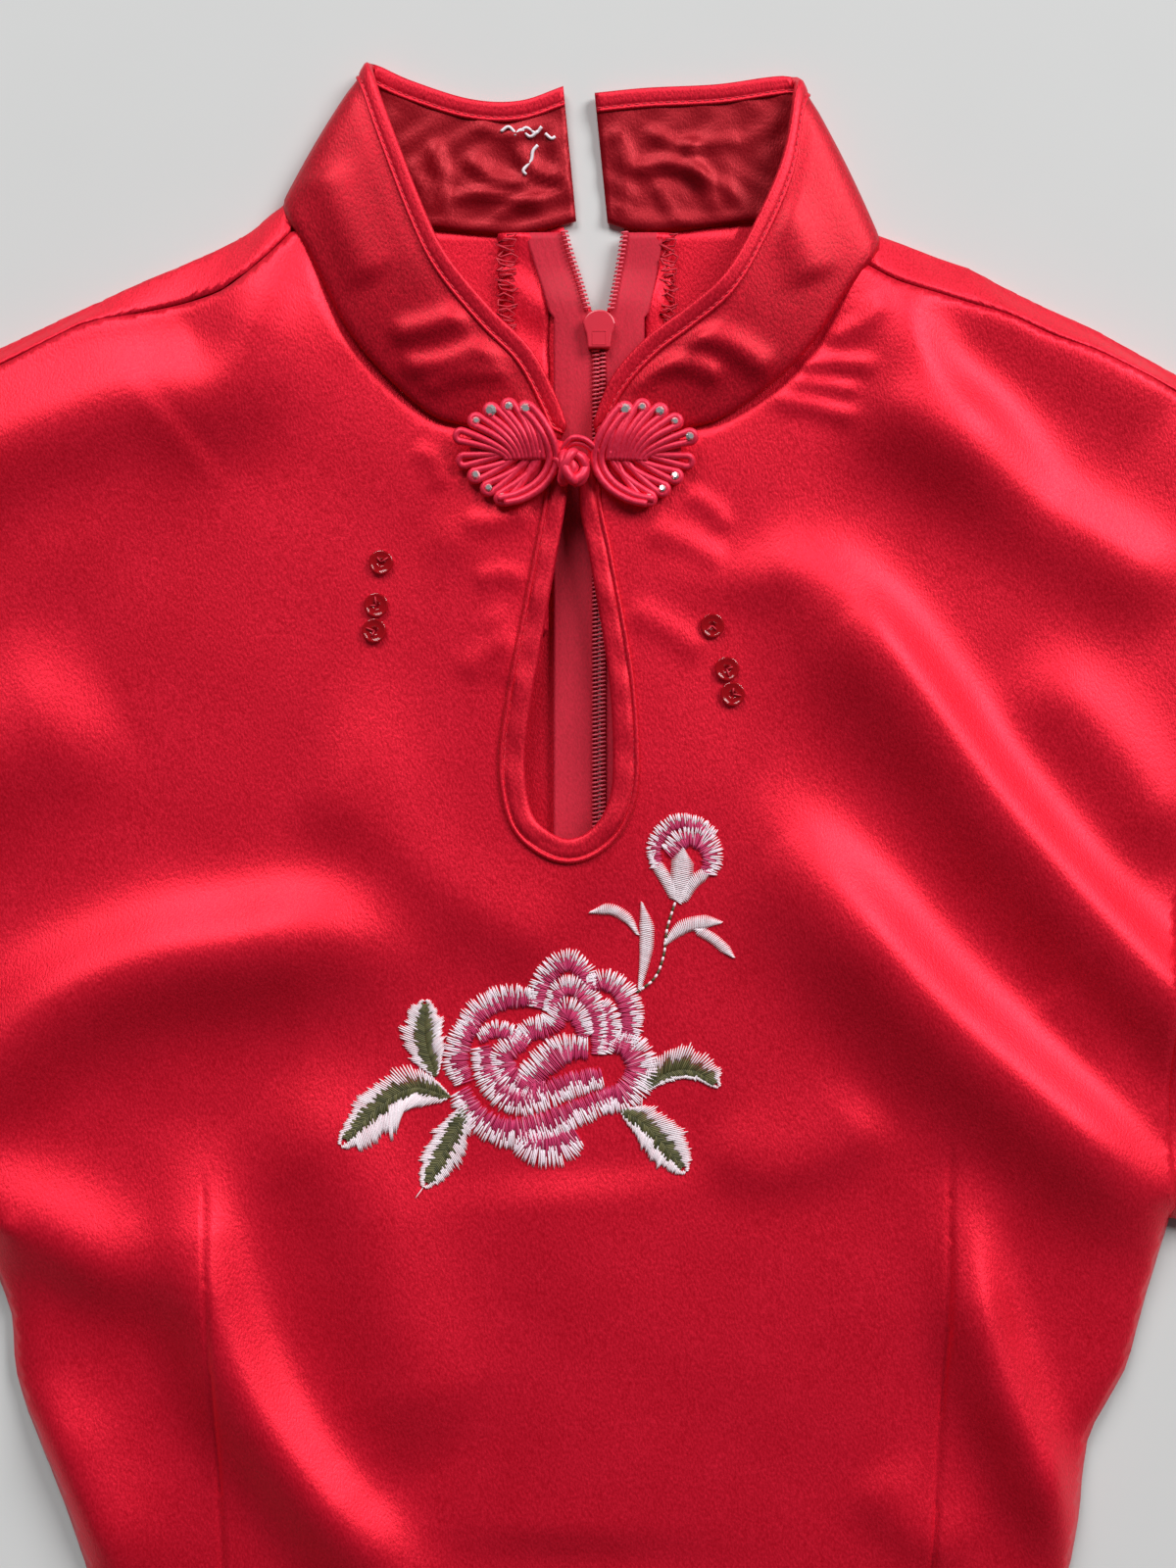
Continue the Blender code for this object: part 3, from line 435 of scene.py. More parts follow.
class Shade:
    """One material and the nodes in it."""

    def __init__(self, name, roughness=0.5, metallic=0.0, **fixed):
        self.material = bpy.data.materials.new(name)
        self.material.use_nodes = True
        self.nodes = self.material.node_tree.nodes
        self.links = self.material.node_tree.links
        self.surface = self.nodes["Principled BSDF"]
        self.put("Roughness", roughness)
        self.put("Metallic", metallic)
        for key, value in fixed.items():
            self.surface.inputs[key.replace("_", " ")].default_value = value

    def node(self, kind, settings, inputs, output=0):
        made = self.nodes.new(kind)
        for key, value in settings.items():
            if key == "stops":
                self.set_stops(made.color_ramp, value)
            else:
                setattr(made, key, value)
        pairs = inputs.items() if isinstance(inputs, dict) else enumerate(inputs)
        for key, value in pairs:
            if isinstance(value, Val):
                self.links.new(value.socket, made.inputs[key])
            else:
                made.inputs[key].default_value = value
        return Val(self, made.outputs[output])

    def set_stops(self, ramp, stops):
        while len(ramp.elements) < len(stops):
            ramp.elements.new(0.5)
        for element, (at, colour) in zip(ramp.elements, stops):
            element.position = at
            element.color = (*colour, 1)

    def put(self, key, value):
        if isinstance(value, Val):
            self.links.new(value.socket, self.surface.inputs[key])
        else:
            self.surface.inputs[key].default_value = value

    def where(self, scale=(1, 1, 1), turn=0.0):
        """The place on the object, scaled, and turned about z."""
        coords = self.node("ShaderNodeTexCoord", {}, [], "Object")
        return self.node(
            "ShaderNodeMapping", {}, {"Vector": coords, "Scale": scale, "Rotation": (0, 0, turn)}
        )

    def noise(self, vector, scale, detail=2.0):
        return self.node("ShaderNodeTexNoise", {}, {"Vector": vector, "Scale": scale, "Detail": detail})

    def mixed(self, factor, a, b):
        a, b = (c if isinstance(c, Val) else (*c, 1) for c in (a, b))
        return self.node("ShaderNodeMix", {"data_type": "RGBA"}, {0: factor, 6: a, 7: b}, 2)

    def bump(self, height, strength, distance=0.0002):
        bumped = self.node(
            "ShaderNodeBump", {}, {"Strength": strength, "Distance": distance, "Height": height}, "Normal"
        )
        self.put("Normal", bumped)


# The collar lining (attribute inner) takes the deep colour times this, with no drift: partly its own darker
# cloth, partly painted shade, as the standing collar keeps light off it.
INNER_SHADE = 0.95


def cloth_finish(name, deep, bright, roughness, metallic, weave=1800.0, depth=0.75, sheen=0.04):
    """Woven cloth: a slanting weave with uneven threads and a colour that drifts a little; where inner is
    set, darker, partly painted shade.
    """
    shade = Shade(name, roughness, metallic)
    shade.put("Sheen Weight", sheen)
    shade.put("Sheen Roughness", 0.45)
    shade.put("Sheen Tint", (1.0, 0.45, 0.55, 1))
    shade.put("Specular IOR Level", 0.38)
    shade.put("Coat Weight", 0.06)
    shade.put("Coat Roughness", 0.38)
    threads = shade.noise(shade.where((1.0, 0.5, 1.0), math.radians(38)), weave, 2.0)
    broad = shade.noise(shade.where(), 55.0, 2.0)
    drift = (threads - 0.5) * 1.6 + (broad - 0.5) * 0.5 + 0.5
    drift = shade.node("ShaderNodeClamp", {}, [drift, 0.0, 1.0])
    # Where inner is set the colour is darker: partly the lining's own colour, partly painted shade.
    inner = shade.node("ShaderNodeAttribute", {"attribute_name": "inner"}, [], "Fac")
    shadow = tuple(c * INNER_SHADE for c in deep)
    shade.put("Base Color", shade.mixed(inner, shade.mixed(drift, deep, bright), shadow))
    rough = (threads - 0.5) * 0.35 + roughness
    shade.put("Roughness", rough)
    shade.bump(threads, depth)
    return shade.material


def plain_finish(name, colour, roughness, metallic=0.0, grain=0.0, scale=1500.0, **fixed):
    """One colour with a faint grain."""
    shade = Shade(name, roughness, metallic, **fixed)
    speck = shade.noise(shade.where(), scale, 2.0)
    dark = tuple(c * (1 - grain) for c in colour)
    shade.put("Base Color", shade.mixed(speck, dark, colour))
    shade.bump(speck, 0.15)
    return shade.material


def thread_finish(name, stops, roughness=0.55):
    """Thread coloured by the strands' own shade attribute, from the first colour to the last."""
    shade = Shade(name, roughness, 0.0)
    attribute = shade.node("ShaderNodeAttribute", {"attribute_name": "shade"}, [], "Fac")
    shade.put("Base Color", shade.node("ShaderNodeValToRGB", {"stops": stops}, {"Fac": attribute}, "Color"))
    return shade.material


SATIN = cloth_finish("red_satin", (0.72, 0.002, 0.019), (1.0, 0.012, 0.048), 0.45, 0.52)
LINING = cloth_finish("collar_satin", (0.38, 0.0005, 0.010), (0.76, 0.003, 0.027), 0.48, 0.5)
EDGE = cloth_finish("bound_edge_satin", (0.56, 0.002, 0.016), (0.92, 0.010, 0.042), 0.48, 0.5)
CORD = cloth_finish("cord_satin", (0.80, 0.014, 0.050), (1.0, 0.045, 0.115), 0.46, 0.3, depth=0.2)
TAPE = cloth_finish(
    "zip_tape_cloth", (0.48, 0.005, 0.024), (0.74, 0.018, 0.052), 0.75, 0.0, 1800.0, 0.6, 0.05
)
COIL = plain_finish("nylon_coil", (1.0, 0.11, 0.17), 0.42, 0.0, 0.2)
PAINT = plain_finish("painted_slider", (0.76, 0.032, 0.062), 0.32, 0.0, 0.08, 400.0)
STITCHES = plain_finish("red_stitch_thread", (0.78, 0.022, 0.055), 0.6, 0.0, 0.35)
# Thread of the coil stitches: its dark red is partly the thread's own colour, partly painted shade on the
# coil.
SHADOW_THREAD = plain_finish("deep_red_thread", (0.25, 0.002, 0.008), 0.7, 0.0, 0.4)
WHITE_THREAD = plain_finish("white_thread", (1.0, 0.90, 0.96), 0.6, 0.0, 0.1)
SEQUIN = plain_finish("sequin_plastic", (0.42, 0.004, 0.010), 0.12, 0.0, 0.1, 600.0, Alpha=0.72)
STONE = plain_finish("stone_glass", (0.98, 0.99, 0.99), 0.12, 0.7, 0.3, 900.0)
PETAL_STOPS = (
    (0.0, (1.0, 0.90, 0.96)),
    (0.45, (1.0, 0.68, 0.82)),
    (0.66, (0.76, 0.055, 0.20)),
    (1.0, (0.44, 0.010, 0.08)),
)
LEAF_STOPS = (
    (0.0, (1.0, 0.90, 0.95)),
    (0.5, (0.95, 0.74, 0.80)),
    (0.62, (0.21, 0.19, 0.075)),
    (1.0, (0.06, 0.06, 0.02)),
)
PETAL = thread_finish("petal_thread", PETAL_STOPS)
LEAF = thread_finish("leaf_thread", LEAF_STOPS)
print("finishes", len(bpy.data.materials))

# %% [markdown]
# ## How the front lies
#
# The front rests on the back, higher over the air between them, and rolls down at its sides. On that come
# the folds. Each is a crest line with its own height and its own width on either side, since real folds
# lean: one slope is short and the other long. Small ripples and the puckers of the neck seam come last.

# %% Measurements shared with the frame
HEM_Y = -900.0
SLIT_TOP_Y = -690.0
WAIST_Y = -385.0
ZIP_END_Y = -480.0
LOW_EDGE = 2.7
BODICE_LOFT = 5.5
FROG_LOFT = 8.0
SKIRT_LOFT = 3.0
SIDE_ROLL = 13.0
SHOULDER_ROLL = 2.2
CLOTH = 0.5
CREST_REACH = 3.2  # a fold has died out at this many of its widths
SLEEVE_LENGTH = 190.0
SLEEVE_CUFF = 175.0
SLEEVE_SLOPE = math.radians(40)
ZIP_X = 6.2
SLIDER_Y = 31.0

# Over the shoulder: x, y of the fold, y of the seam
SHOULDER_LEFT = (
    (-85.5, 71.5, 60), (-91, 67.5, 54), (-98, 61.5, 47.5), (-106, 57, 42), (-118, 51.6, 38.5),
    (-130, 46.7, 36), (-148, 38.5, 32.5), (-171, 27.6, 21), (-196, 16, 9),
)
SHOULDER_RIGHT = (
    (86.5, 61.5, 50), (93, 59.2, 46), (99, 57, 43.5), (108, 53.4, 41), (117, 50.5, 38.3), (128, 44.5, 35),
    (141, 38.2, 29), (155, 32, 24), (177, 19.7, 13), (200, 8, 0.5),
)
ARMHOLE_LEFT = ((-196, 9), (-184, -50), (-178, -120), (-176, -190), (-179, -241))
ARMHOLE_RIGHT = ((200, 0.5), (188.5, -55), (180, -120), (175, -190), (177.5, -234))
SIDE_LEFT = (
    (-179, -241), (-170, -262), (-167, -286), (-148.5, -336), (-138, WAIST_Y), (-152, -440),
    (-186, -510), (-206, -590), (-206, SLIT_TOP_Y), (-192, HEM_Y),
)
SIDE_RIGHT = (
    (177.5, -234), (170, -258), (163, -282), (153, -299), (149, -330), (139, WAIST_Y), (153, -440),
    (186, -510), (206, -590), (206, SLIT_TOP_Y), (192, HEM_Y),
)
NECK_LEFT = (
    (-84.5, 59.2), (-79.5, 49.5), (-70.3, 31.4), (-58.6, 16.8), (-45.4, 5.2), (-36, 1.6), (-19, -1.6),
    (-3.2, -3),
)
KEYHOLE_LEFT = (
    (-3.2, -3), (-4.1, -18.6), (-8.1, -42.6), (-14.2, -77.7), (-16.5, -97.7), (-14.6, -112.5),
    (-9.5, -118.8),
)
KEYHOLE_RIGHT = (
    (-3, -121.4), (3.5, -119), (8.6, -112.5), (11, -101), (9.9, -73.7), (4.4, -38.9), (0.9, -18.6),
    (3.6, -3),
)
NECK_RIGHT = (
    (3.6, -3), (19, -1.8), (33.6, 0.6), (44, 3.8), (58.6, 13.9), (70.3, 25.6), (80.5, 41), (85.5, 49.3)
)
BACK_NECK_LEFT = ((-85.5, 69.3), (-80, 68.5), (-60.9, 66.5), (-37.7, 64.0), (-17.4, 62.5), (-4.0, 63.5))
BACK_NECK_RIGHT = ((86.5, 59.3), (80, 62.5), (70, 65.0), (47.9, 66.0), (21.8, 63.5), (14.2, 63.0))
OPEN_CHAIN = np.array(((37.0, 3.1, 9.3), (45.0, 0.9, 10.9), (57.0, -2.9, 13.0), (64.0, -4.6, 14.0)))
KEYHOLE_AXIS = ((-1.5, -20), (-3, -100))

# Crest lines left to right or downwards; then height, width of the upper slope, width of the lower slope
FOLDS = (
    (((50.8, -29), (63.8, -37.7), (79.8, -52.2), (100, -78.3), (121.8, -108.7), (145, -136.3),
     (181.2, -174), (205.9, -203)), 12.0, 12, 19),
    (((44.9, -109.6), (59.4, -119.5), (78.3, -140.6), (104.4, -169.6), (133.4, -195.8), (159.5, -218.1),
     (178.3, -232), (194.3, -246.5)), 13.0, 13.5, 20),
    (((127.6, -66.7), (150.8, -87), (165.3, -104.4), (181.2, -129)), 4.2, 13, 14),
    (((89.9, 58), (94.2, 34.8), (102.9, 15.9), (118.9, 0), (143.5, -18.8)), 7.5, 11, 16),
    (((75.4, 15.9), (101.5, -1.4), (133.4, -21.8), (162.4, -39.1), (181.2, -53.6)), 5.0, 12, 15),
    (((95.7, 51.6), (118.9, 40.6), (147.9, 25.5), (179.8, 8.7)), 2.6, 7, 15),
    (((10.1, -40), (31.9, -42.9), (55.1, -42.9), (71, -36.2)), 2.2, 10, 9),
    (((-46.4, -30.4), (-26.1, -34.8), (-11, -38.3)), 1.8, 9, 7),
    (((-226.2, -224.7), (-182.7, -191.4), (-153.7, -168.8), (-127.6, -158), (-101.5, -153.1),
     (-78.3, -149.3), (-59.4, -155.1), (-42, -165.3)), 11.0, 15, 19),
    (((-87, -102.9), (-63.8, -111.6), (-43.5, -128.2), (-20.3, -143.5), (2.9, -152.2)), 4.0, 26, 15),
    (((-217.5, -214.6), (-179.8, -226.8), (-156.6, -236.3), (-136.3, -246.5), (-105.8, -250.3)),
     8.5, 15, 14),
    (((-114.3, -203), (-111.9, -237.8), (-106.7, -262.4), (-96.3, -287.1), (-79.5, -311.8),
     (-55.1, -339.3), (-37.7, -359.6)), 11.0, 11, 15),
    (((-92.8, -192.8), (-75.4, -210.2), (-60.9, -236.3), (-54.5, -263.9), (-49.9, -290), (-40.6, -307.4)),
     5.5, 20, 20),
    (((-160.9, -278.4), (-153.1, -301.6), (-140.6, -327.7), (-129, -348)), 5.5, 15, 9),
    (((-217.5, -17.4), (-182.7, -8.7), (-156.6, 2.3), (-133.4, 10.1), (-110.2, 10.7), (-98, 20.3),
     (-91.9, 40.6), (-88.7, 65.2)), 7.0, 16, 17),
    (((-214.6, -60.9), (-176.9, -46.4), (-153.7, -33.3), (-133.4, -17.4), (-113.1, 0)), 1.2, 22, 14),
    (((-229.1, -104.4), (-188.5, -99.2), (-159.5, -91.3), (-136.3, -79.8)), 5.0, 26, 20),
    (((112.5, -217.5), (118.3, -258.1), (126.4, -284.2), (138.6, -311.8), (150.8, -348)), 9.5, 9, 12),
    (((36.2, -208.8), (55.1, -217.5), (75.4, -213.1), (91.3, -200.1)), 2.6, 15, 9),
    (((84.1, -307.4), (98.6, -324.8), (118.9, -336.4)), 2.5, 12, 9),
    (((-4.3, -217.5), (-1.4, -263.9), (-2.9, -336.4)), 2.5, 34, 30),
    (((-135, -392), (-60, -385), (-10, -405)), 4.0, 14, 16),
    (((136, -380), (80, -372), (30, -390)), 4.0, 16, 12),
    (((-90, -380), (-110, -560), (-80, -820)), 5.0, 34, 24),
    (((60, -400), (40, -600), (80, -850)), 5.0, 26, 36),
    (((-10, -500), (-30, -650), (-5, -870)), 3.5, 24, 30),
    (((130, -450), (150, -620), (130, -800)), 4.0, 22, 18),
    (((-150, -640), (-60, -660), (20, -630)), 2.6, 18, 12),
    (((-200, -10), (-250, -70), (-315, -130)), 5.0, 20, 15),
    (((-190, -120), (-225, -150), (-270, -195)), 5.0, 14, 20),
    (((205, -20), (260, -80), (320, -140)), 5.0, 14, 18),
    (((192, -120), (230, -150), (275, -200)), 5.0, 18, 14),
)

# Short puckers that run off the neck seam and the frog
PUCKERS = (
    (((64.4, 19.7), (75.4, 20.9), (89.9, 18.8)), 1.3, 2.6, 3.0),
    (((60.9, 15.1), (73.9, 13.9), (84.1, 11.6)), 1.1, 2.2, 2.6),
    (((56.5, 10.4), (69.6, 8.1), (84.1, 3.5)), 1.2, 2.6, 3.0),
    (((72.5, 27.5), (84.1, 31.9), (91.3, 40.6)), 1.0, 2.6, 3.4),
    (((-49.3, -4.3), (-42, -8.7), (-40, -17.4)), 0.7, 2.6, 3.0),
    (((31.9, -17.4), (40.6, -23.2), (44.9, -30.4)), 0.9, 3.0, 3.2),
    (((-34.8, -26.1), (-24.6, -26.7), (-13, -23.2)), 0.9, 3.0, 3.6),
    (((-31.9, -44.1), (-23.2, -42), (-14.5, -43.5)), 0.8, 3.0, 3.2),
    (((14.5, -52.2), (26.1, -58), (37.7, -66.1)), 0.9, 4.0, 4.0),
    (((-26.1, -52.2), (-20.3, -63.8), (-21.8, -75.4)), 0.7, 4.0, 4.0),
    (((-34.8, -72.5), (-26.1, -65.2), (-18.8, -60.9)), 0.9, 4.0, 3.6),
    (((20.3, -29), (31.9, -32.5), (43.5, -39.1)), 0.8, 4.0, 3.6),
    (((139.2, -165.3), (156.6, -185.6), (176.9, -205.9)), 1.0, 6.0, 6.0),
    (((-171.1, -231.4), (-166.8, -234.9), (-162.4, -238.4)), 2.0, 3.0, 3.0),
)
DARTS = (
    ((-111.4, -216), (-109.6, -237.8), (-108.5, -263.9), (-107.6, -292.9), (-105.6, -342.2),
     (-103.8, -394.4)),
    ((110.8, -204.4), (110.2, -249.4), (108.7, -278.4), (107.3, -307.4), (105.3, -342.2), (102.9, -394.4)),
)


# %% Heights of the front


def cuff_ends(tip, side):
    """The top and bottom corners of a cuff."""
    down = np.array([side * math.cos(SLEEVE_SLOPE), -math.sin(SLEEVE_SLOPE)])
    across = np.array([-side * math.sin(SLEEVE_SLOPE), -math.cos(SLEEVE_SLOPE)])
    top = np.array(tip, float) + SLEEVE_LENGTH * down
    return top, top + SLEEVE_CUFF * across


CUFF_LEFT = cuff_ends(SHOULDER_LEFT[-1][:2], -1)
CUFF_RIGHT = cuff_ends(SHOULDER_RIGHT[-1][:2], 1)
LOWER_EDGE = np.vstack(
    [CUFF_LEFT[1], smooth_path(SIDE_LEFT, 14), smooth_path(SIDE_RIGHT, 14)[::-1], CUFF_RIGHT[1]]
)
CREST_PATHS = {}


def crest_sum(x, y, rows, step, fade_length):
    """Height that the folds in a table add. A fold fades in over fade_length times its height."""
    total = np.zeros(np.shape(x))
    for crest, height, upper, lower in rows:
        if (crest, step) not in CREST_PATHS:
            CREST_PATHS[crest, step] = smooth_path(crest, step)
        path = CREST_PATHS[crest, step]
        near = np.ones(np.shape(x), bool)
        reach = CREST_REACH * max(upper, lower)
        for k, value in enumerate((x, y)):
            near &= (value > path[:, k].min() - reach) & (value < path[:, k].max() + reach)
        if not near.any():
            continue
        distance, along, side = path_distance(x[near], y[near], path)
        width = np.where(side > 0, upper, lower)
        run = np.linalg.norm(np.diff(path, axis=0), axis=1).sum()
        fade = soft_step(np.minimum(along, 1 - along) * run / (fade_length * height) + 0.08)
        total[near] += height * fade * np.exp(-((distance / width) ** 2))
    return total


def ripples(x, y):
    """Faint unevenness that no pressed cloth is without."""
    return (
        0.35 * np.sin(x / 19 + 1.3 * np.sin(y / 37))
        * np.sin(y / 23 + 0.9 * np.sin(x / 31 + 1))
        + 0.16 * np.sin((x + 0.6 * y) / 9.1 + 2) * np.sin((y - 0.4 * x) / 12.7)
    )


def front_z(x, y, detail=True):
    """Height of the outer face of the front layer, sleeves included."""
    x = np.atleast_1d(np.asarray(x, float))
    y = np.atleast_1d(np.asarray(y, float))
    bodice = soft_step((y - HEM_Y / 2 - 40) / 160) * soft_step((225 - np.abs(x)) / 40)
    loft = SKIRT_LOFT + (BODICE_LOFT - SKIRT_LOFT) * bodice
    distance = path_distance(x, y, LOWER_EDGE)[0]
    roll = np.clip(distance / SIDE_ROLL, 0, 1)
    full = np.maximum(loft + crest_sum(x, y, FOLDS, 5, 5.5) + ripples(x, y), 0.6)
    calm = np.exp(-((x / 50) ** 2) - ((y + 4) / 30) ** 2)
    from_slit = path_distance(x, y, KEYHOLE_AXIS)[0]
    calm = np.maximum(calm, soft_step((56 - from_slit) / 38))
    full = full * (1 - calm) + FROG_LOFT * calm
    if detail:
        full = full + crest_sum(x, y, PUCKERS, 6, 5)
        for dart in DARTS:
            distance, along, side = path_distance(x, y, smooth_path(dart, 12))
            pressed = np.exp(-((distance / 0.95) ** 2)) * soft_step(along * 9)
            full = full - 0.8 * pressed + 0.35 * np.exp(-((distance / 7) ** 2)) * side * soft_step(along * 5)
    return LOW_EDGE + full * np.sqrt(1 - (1 - roll) ** 2 + 1e-9)


def on_front(points, lift):
    """Flat points with the front's height under them."""
    points = np.asarray(points, float)
    return np.column_stack([points[:, 0], points[:, 1], front_z(points[:, 0], points[:, 1]) + lift])


def back_z(x, y):
    """Height of the back's inside, which rises over the tab that lies under it."""
    across = soft_step((24 - np.abs(x - ZIP_X)) / 16)
    along = soft_step((y + 22) / 14) * soft_step((52 - y) / 14)
    return 3.2 * across * along


print("folds", len(FOLDS), "puckers", len(PUCKERS))

# %% [markdown]
# ## The front
#
# The real front is one piece with two darts that start below the bust. A grid bent over the folds would
# stretch at the neck and armholes, so the shell is triangles cut to the outline, close together where the
# cloth is looked at and wider down the skirt.

# %% Cut and lay the front


def shoulder_seam(rows):
    """The front's shoulder edge, a hair short of the seam."""
    return np.array([(x, seam - 0.3) for x, _, seam in rows], float)


def slit_side(rows, side, inset):
    """A side edge that steps in where the slit is open."""
    path = evenly(smooth_path(rows, 6), 6)
    path[:, 0] -= side * inset * soft_step((SLIT_TOP_Y - path[:, 1]) / 30)
    return path


ARMS = {-1: evenly(smooth_path(ARMHOLE_LEFT, 4), 4), 1: evenly(smooth_path(ARMHOLE_RIGHT, 4), 4)}


def tucked_neck(rows):
    """The front's neck edge, carried a little under the collar."""
    path = evenly(smooth_path(rows, 2), 2)
    from_frog = (np.abs(path[:, 0]) - 4) / 9
    return path + left_of(path) * 2.6 * soft_step(from_frog)[:, None]


def front_outline():
    right, left = slit_side(SIDE_RIGHT, 1, 4), slit_side(SIDE_LEFT, -1, 4)
    hem = np.column_stack([np.linspace(right[-1][0], left[-1][0], 70), np.full(70, HEM_Y)])
    arm_left, arm_right = ARMS[-1].copy(), ARMS[1].copy()
    for arm in (arm_left, arm_right):
        arm[0, 1] -= 0.5
    return joined(
        tucked_neck(NECK_LEFT),
        evenly(smooth_path(KEYHOLE_LEFT + KEYHOLE_RIGHT, 2), 2),
        tucked_neck(NECK_RIGHT),
        evenly(smooth_path(shoulder_seam(SHOULDER_RIGHT), 3), 3)[:-1],
        arm_right,
        right,
        hem,
        left[::-1],
        arm_left[::-1],
        evenly(smooth_path(shoulder_seam(SHOULDER_LEFT), 3), 3)[-2::-1],
    )


def front_spacing(y):
    """Points are close on the bodice and wider down the skirt."""
    return 1.9 if y > -50 else min(6.5, 2.5 + max(0, -345 - y) * 0.05)


def beside(path, gaps):
    """The path and its like, moved to the left by each gap."""
    return [path + left_of(path) * gap for gap in gaps]


def dart_rows():
    """Close rows of points along the darts, so that the mesh can hold their creases."""
    rows = []
    for dart in DARTS:
        rows += beside(evenly(smooth_path(dart, 4), 1.2), (-2.4, -1.5, -0.7, 0, 0.7, 1.5, 2.4))
    return rows


outline = front_outline()
rows = dart_rows()
for neck in (NECK_LEFT, NECK_RIGHT):
    rows += beside(evenly(smooth_path(neck, 2), 1.3)[6:-6], (1.2, 0, -1.2, -2.4))
clear = [smooth_path(row, 12) for row in (*DARTS, NECK_LEFT[1:-1], NECK_RIGHT[1:-1])]
flat, faces = sheet_points(outline, np.vstack(rows), front_spacing, 190000, clear)
rounded = front_z(flat[:, 0], flat[:, 1])
for rows in (SHOULDER_LEFT, SHOULDER_RIGHT):
    gap = path_distance(flat[:, 0], flat[:, 1], shoulder_seam(rows))[0]
    rounded -= 0.6 * np.exp(-((gap / 1.2) ** 2))
for rows in (NECK_LEFT, NECK_RIGHT):
    gap, _, which = path_distance(flat[:, 0], flat[:, 1], smooth_path(rows, 2))
    tucked = np.where((which > 0) & (gap < 6), 1.0, np.exp(-((gap / 1.5) ** 2)))
    shy = soft_step((np.abs(flat[:, 0]) - 4) / 8) * soft_step((84 - np.abs(flat[:, 0])) / 10)
    rounded -= 1.0 * tucked * shy
front = walled(make("dress_front", np.column_stack([flat, rounded]), faces, SATIN), CLOTH)
print("front", len(front.data.polygons), "faces")

# %% [markdown]
# ## The backs
#
# Each back runs from the zip to the side. Its shoulder is cut to come over the top, so the shoulder seam
# lies a little forward, and the same sheet rolls over the edge to meet the front there. Only its inside
# shows, at the neck.

# %% Lay the backs


def chain_x(y, side):
    """Where the open coil of one side runs."""
    return np.interp(y, OPEN_CHAIN[:, 0], OPEN_CHAIN[:, 1 if side < 0 else 2])


def back_edge_x(y, side):
    """The edge of the cloth beside the zip."""
    near_slider = soft_step(1 - abs(y - SLIDER_Y) / 12)
    shut = ZIP_X + side * (0.5 + 1.6 * near_slider)
    return chain_x(y, side) if y > OPEN_CHAIN[0, 0] else shut


def column(rows, x, index):
    """One column of a table, read at x."""
    table = sorted(rows)
    return np.interp(x, [row[0] for row in table], [row[index] for row in table])


def back_panel(name, side):
    """A back, whose shoulder part rolls over to the seam."""
    shoulder = SHOULDER_LEFT if side < 0 else SHOULDER_RIGHT
    neck = BACK_NECK_LEFT if side < 0 else BACK_NECK_RIGHT
    side_rows = SIDE_LEFT if side < 0 else SIDE_RIGHT
    turns = 10
    step = 1.6
    edge = evenly(smooth_path(shoulder, 4)[:, :2], 4)
    over = [edge + (0, -SHOULDER_ROLL + step * k) for k in range(turns + 2)]
    centre_y = np.concatenate(
        [np.arange(neck[-1][1], 16, -3), np.arange(16, -60, -6), np.arange(-60, HEM_Y, -12), [HEM_Y]]
    )
    centre = np.array([(back_edge_x(y, side), y) for y in centre_y])
    sides = evenly(smooth_path(side_rows, 8), 8)
    hem = np.column_stack([np.linspace(centre[-1][0], sides[-1][0], 24), np.full(24, HEM_Y)])
    arm = ARMS[side][1:]
    outline = joined(
        evenly(smooth_path(neck, 4), 4)[1:],
        centre,
        hem,
        sides[::-1],
        arm[::-1],
        np.array([row[-1] for row in over]),
        over[-1][::-1],
        np.array([row[0] for row in over])[::-1],
    )
    rows = np.vstack([row[1:-1] for row in over[:-1]])
    flat, faces = sheet_points(outline, rows, lambda y: 5.0 if y > -140 else 9.0, 90000)
    x, v = flat[:, 0], flat[:, 1]
    fold = column(shoulder, x, 1) - SHOULDER_ROLL
    seam = column(shoulder, x, 2)
    beyond = np.where(np.abs(x) >= abs(shoulder[0][0]) - 0.01, (v - fold) / (step * (turns + 1)), -1)
    top = front_z(x, seam)
    run = beyond * step * (turns + 1)
    arc = math.pi * SHOULDER_ROLL
    turn = np.clip(run / arc, 0, 1) * math.pi
    ahead = np.clip((run - arc) / (step * (turns + 1) - arc), 0, 1)
    over_y = fold + SHOULDER_ROLL * np.sin(turn) + (seam - fold) * ahead
    over_z = SHOULDER_ROLL * (1 - np.cos(turn)) + (top - 2 * SHOULDER_ROLL) * ahead**0.85
    rolled = (beyond > 1e-6) & (v > fold)
    y = np.where(rolled, over_y, v)
    z = np.where(rolled, over_z - 0.5 * soft_step(ahead * 6 - 5), back_z(x, v))
    made = make(name, np.column_stack([x, y, z]), faces[:, ::-1], SATIN)
    return walled(made, CLOTH)


backs = [back_panel("dress_back_left", -1), back_panel("dress_back_right", 1)]
print("backs", [len(b.data.polygons) for b in backs])

# %% [markdown]
# ## Sleeves
#
# A short set-in sleeve lies collapsed: a flat tube, its top edge rolled and its lower edge folded. Its
# upper layer takes the same height as the front beside it, so the armhole reads as a seam and not as a
# step.

# %% Lay the sleeves


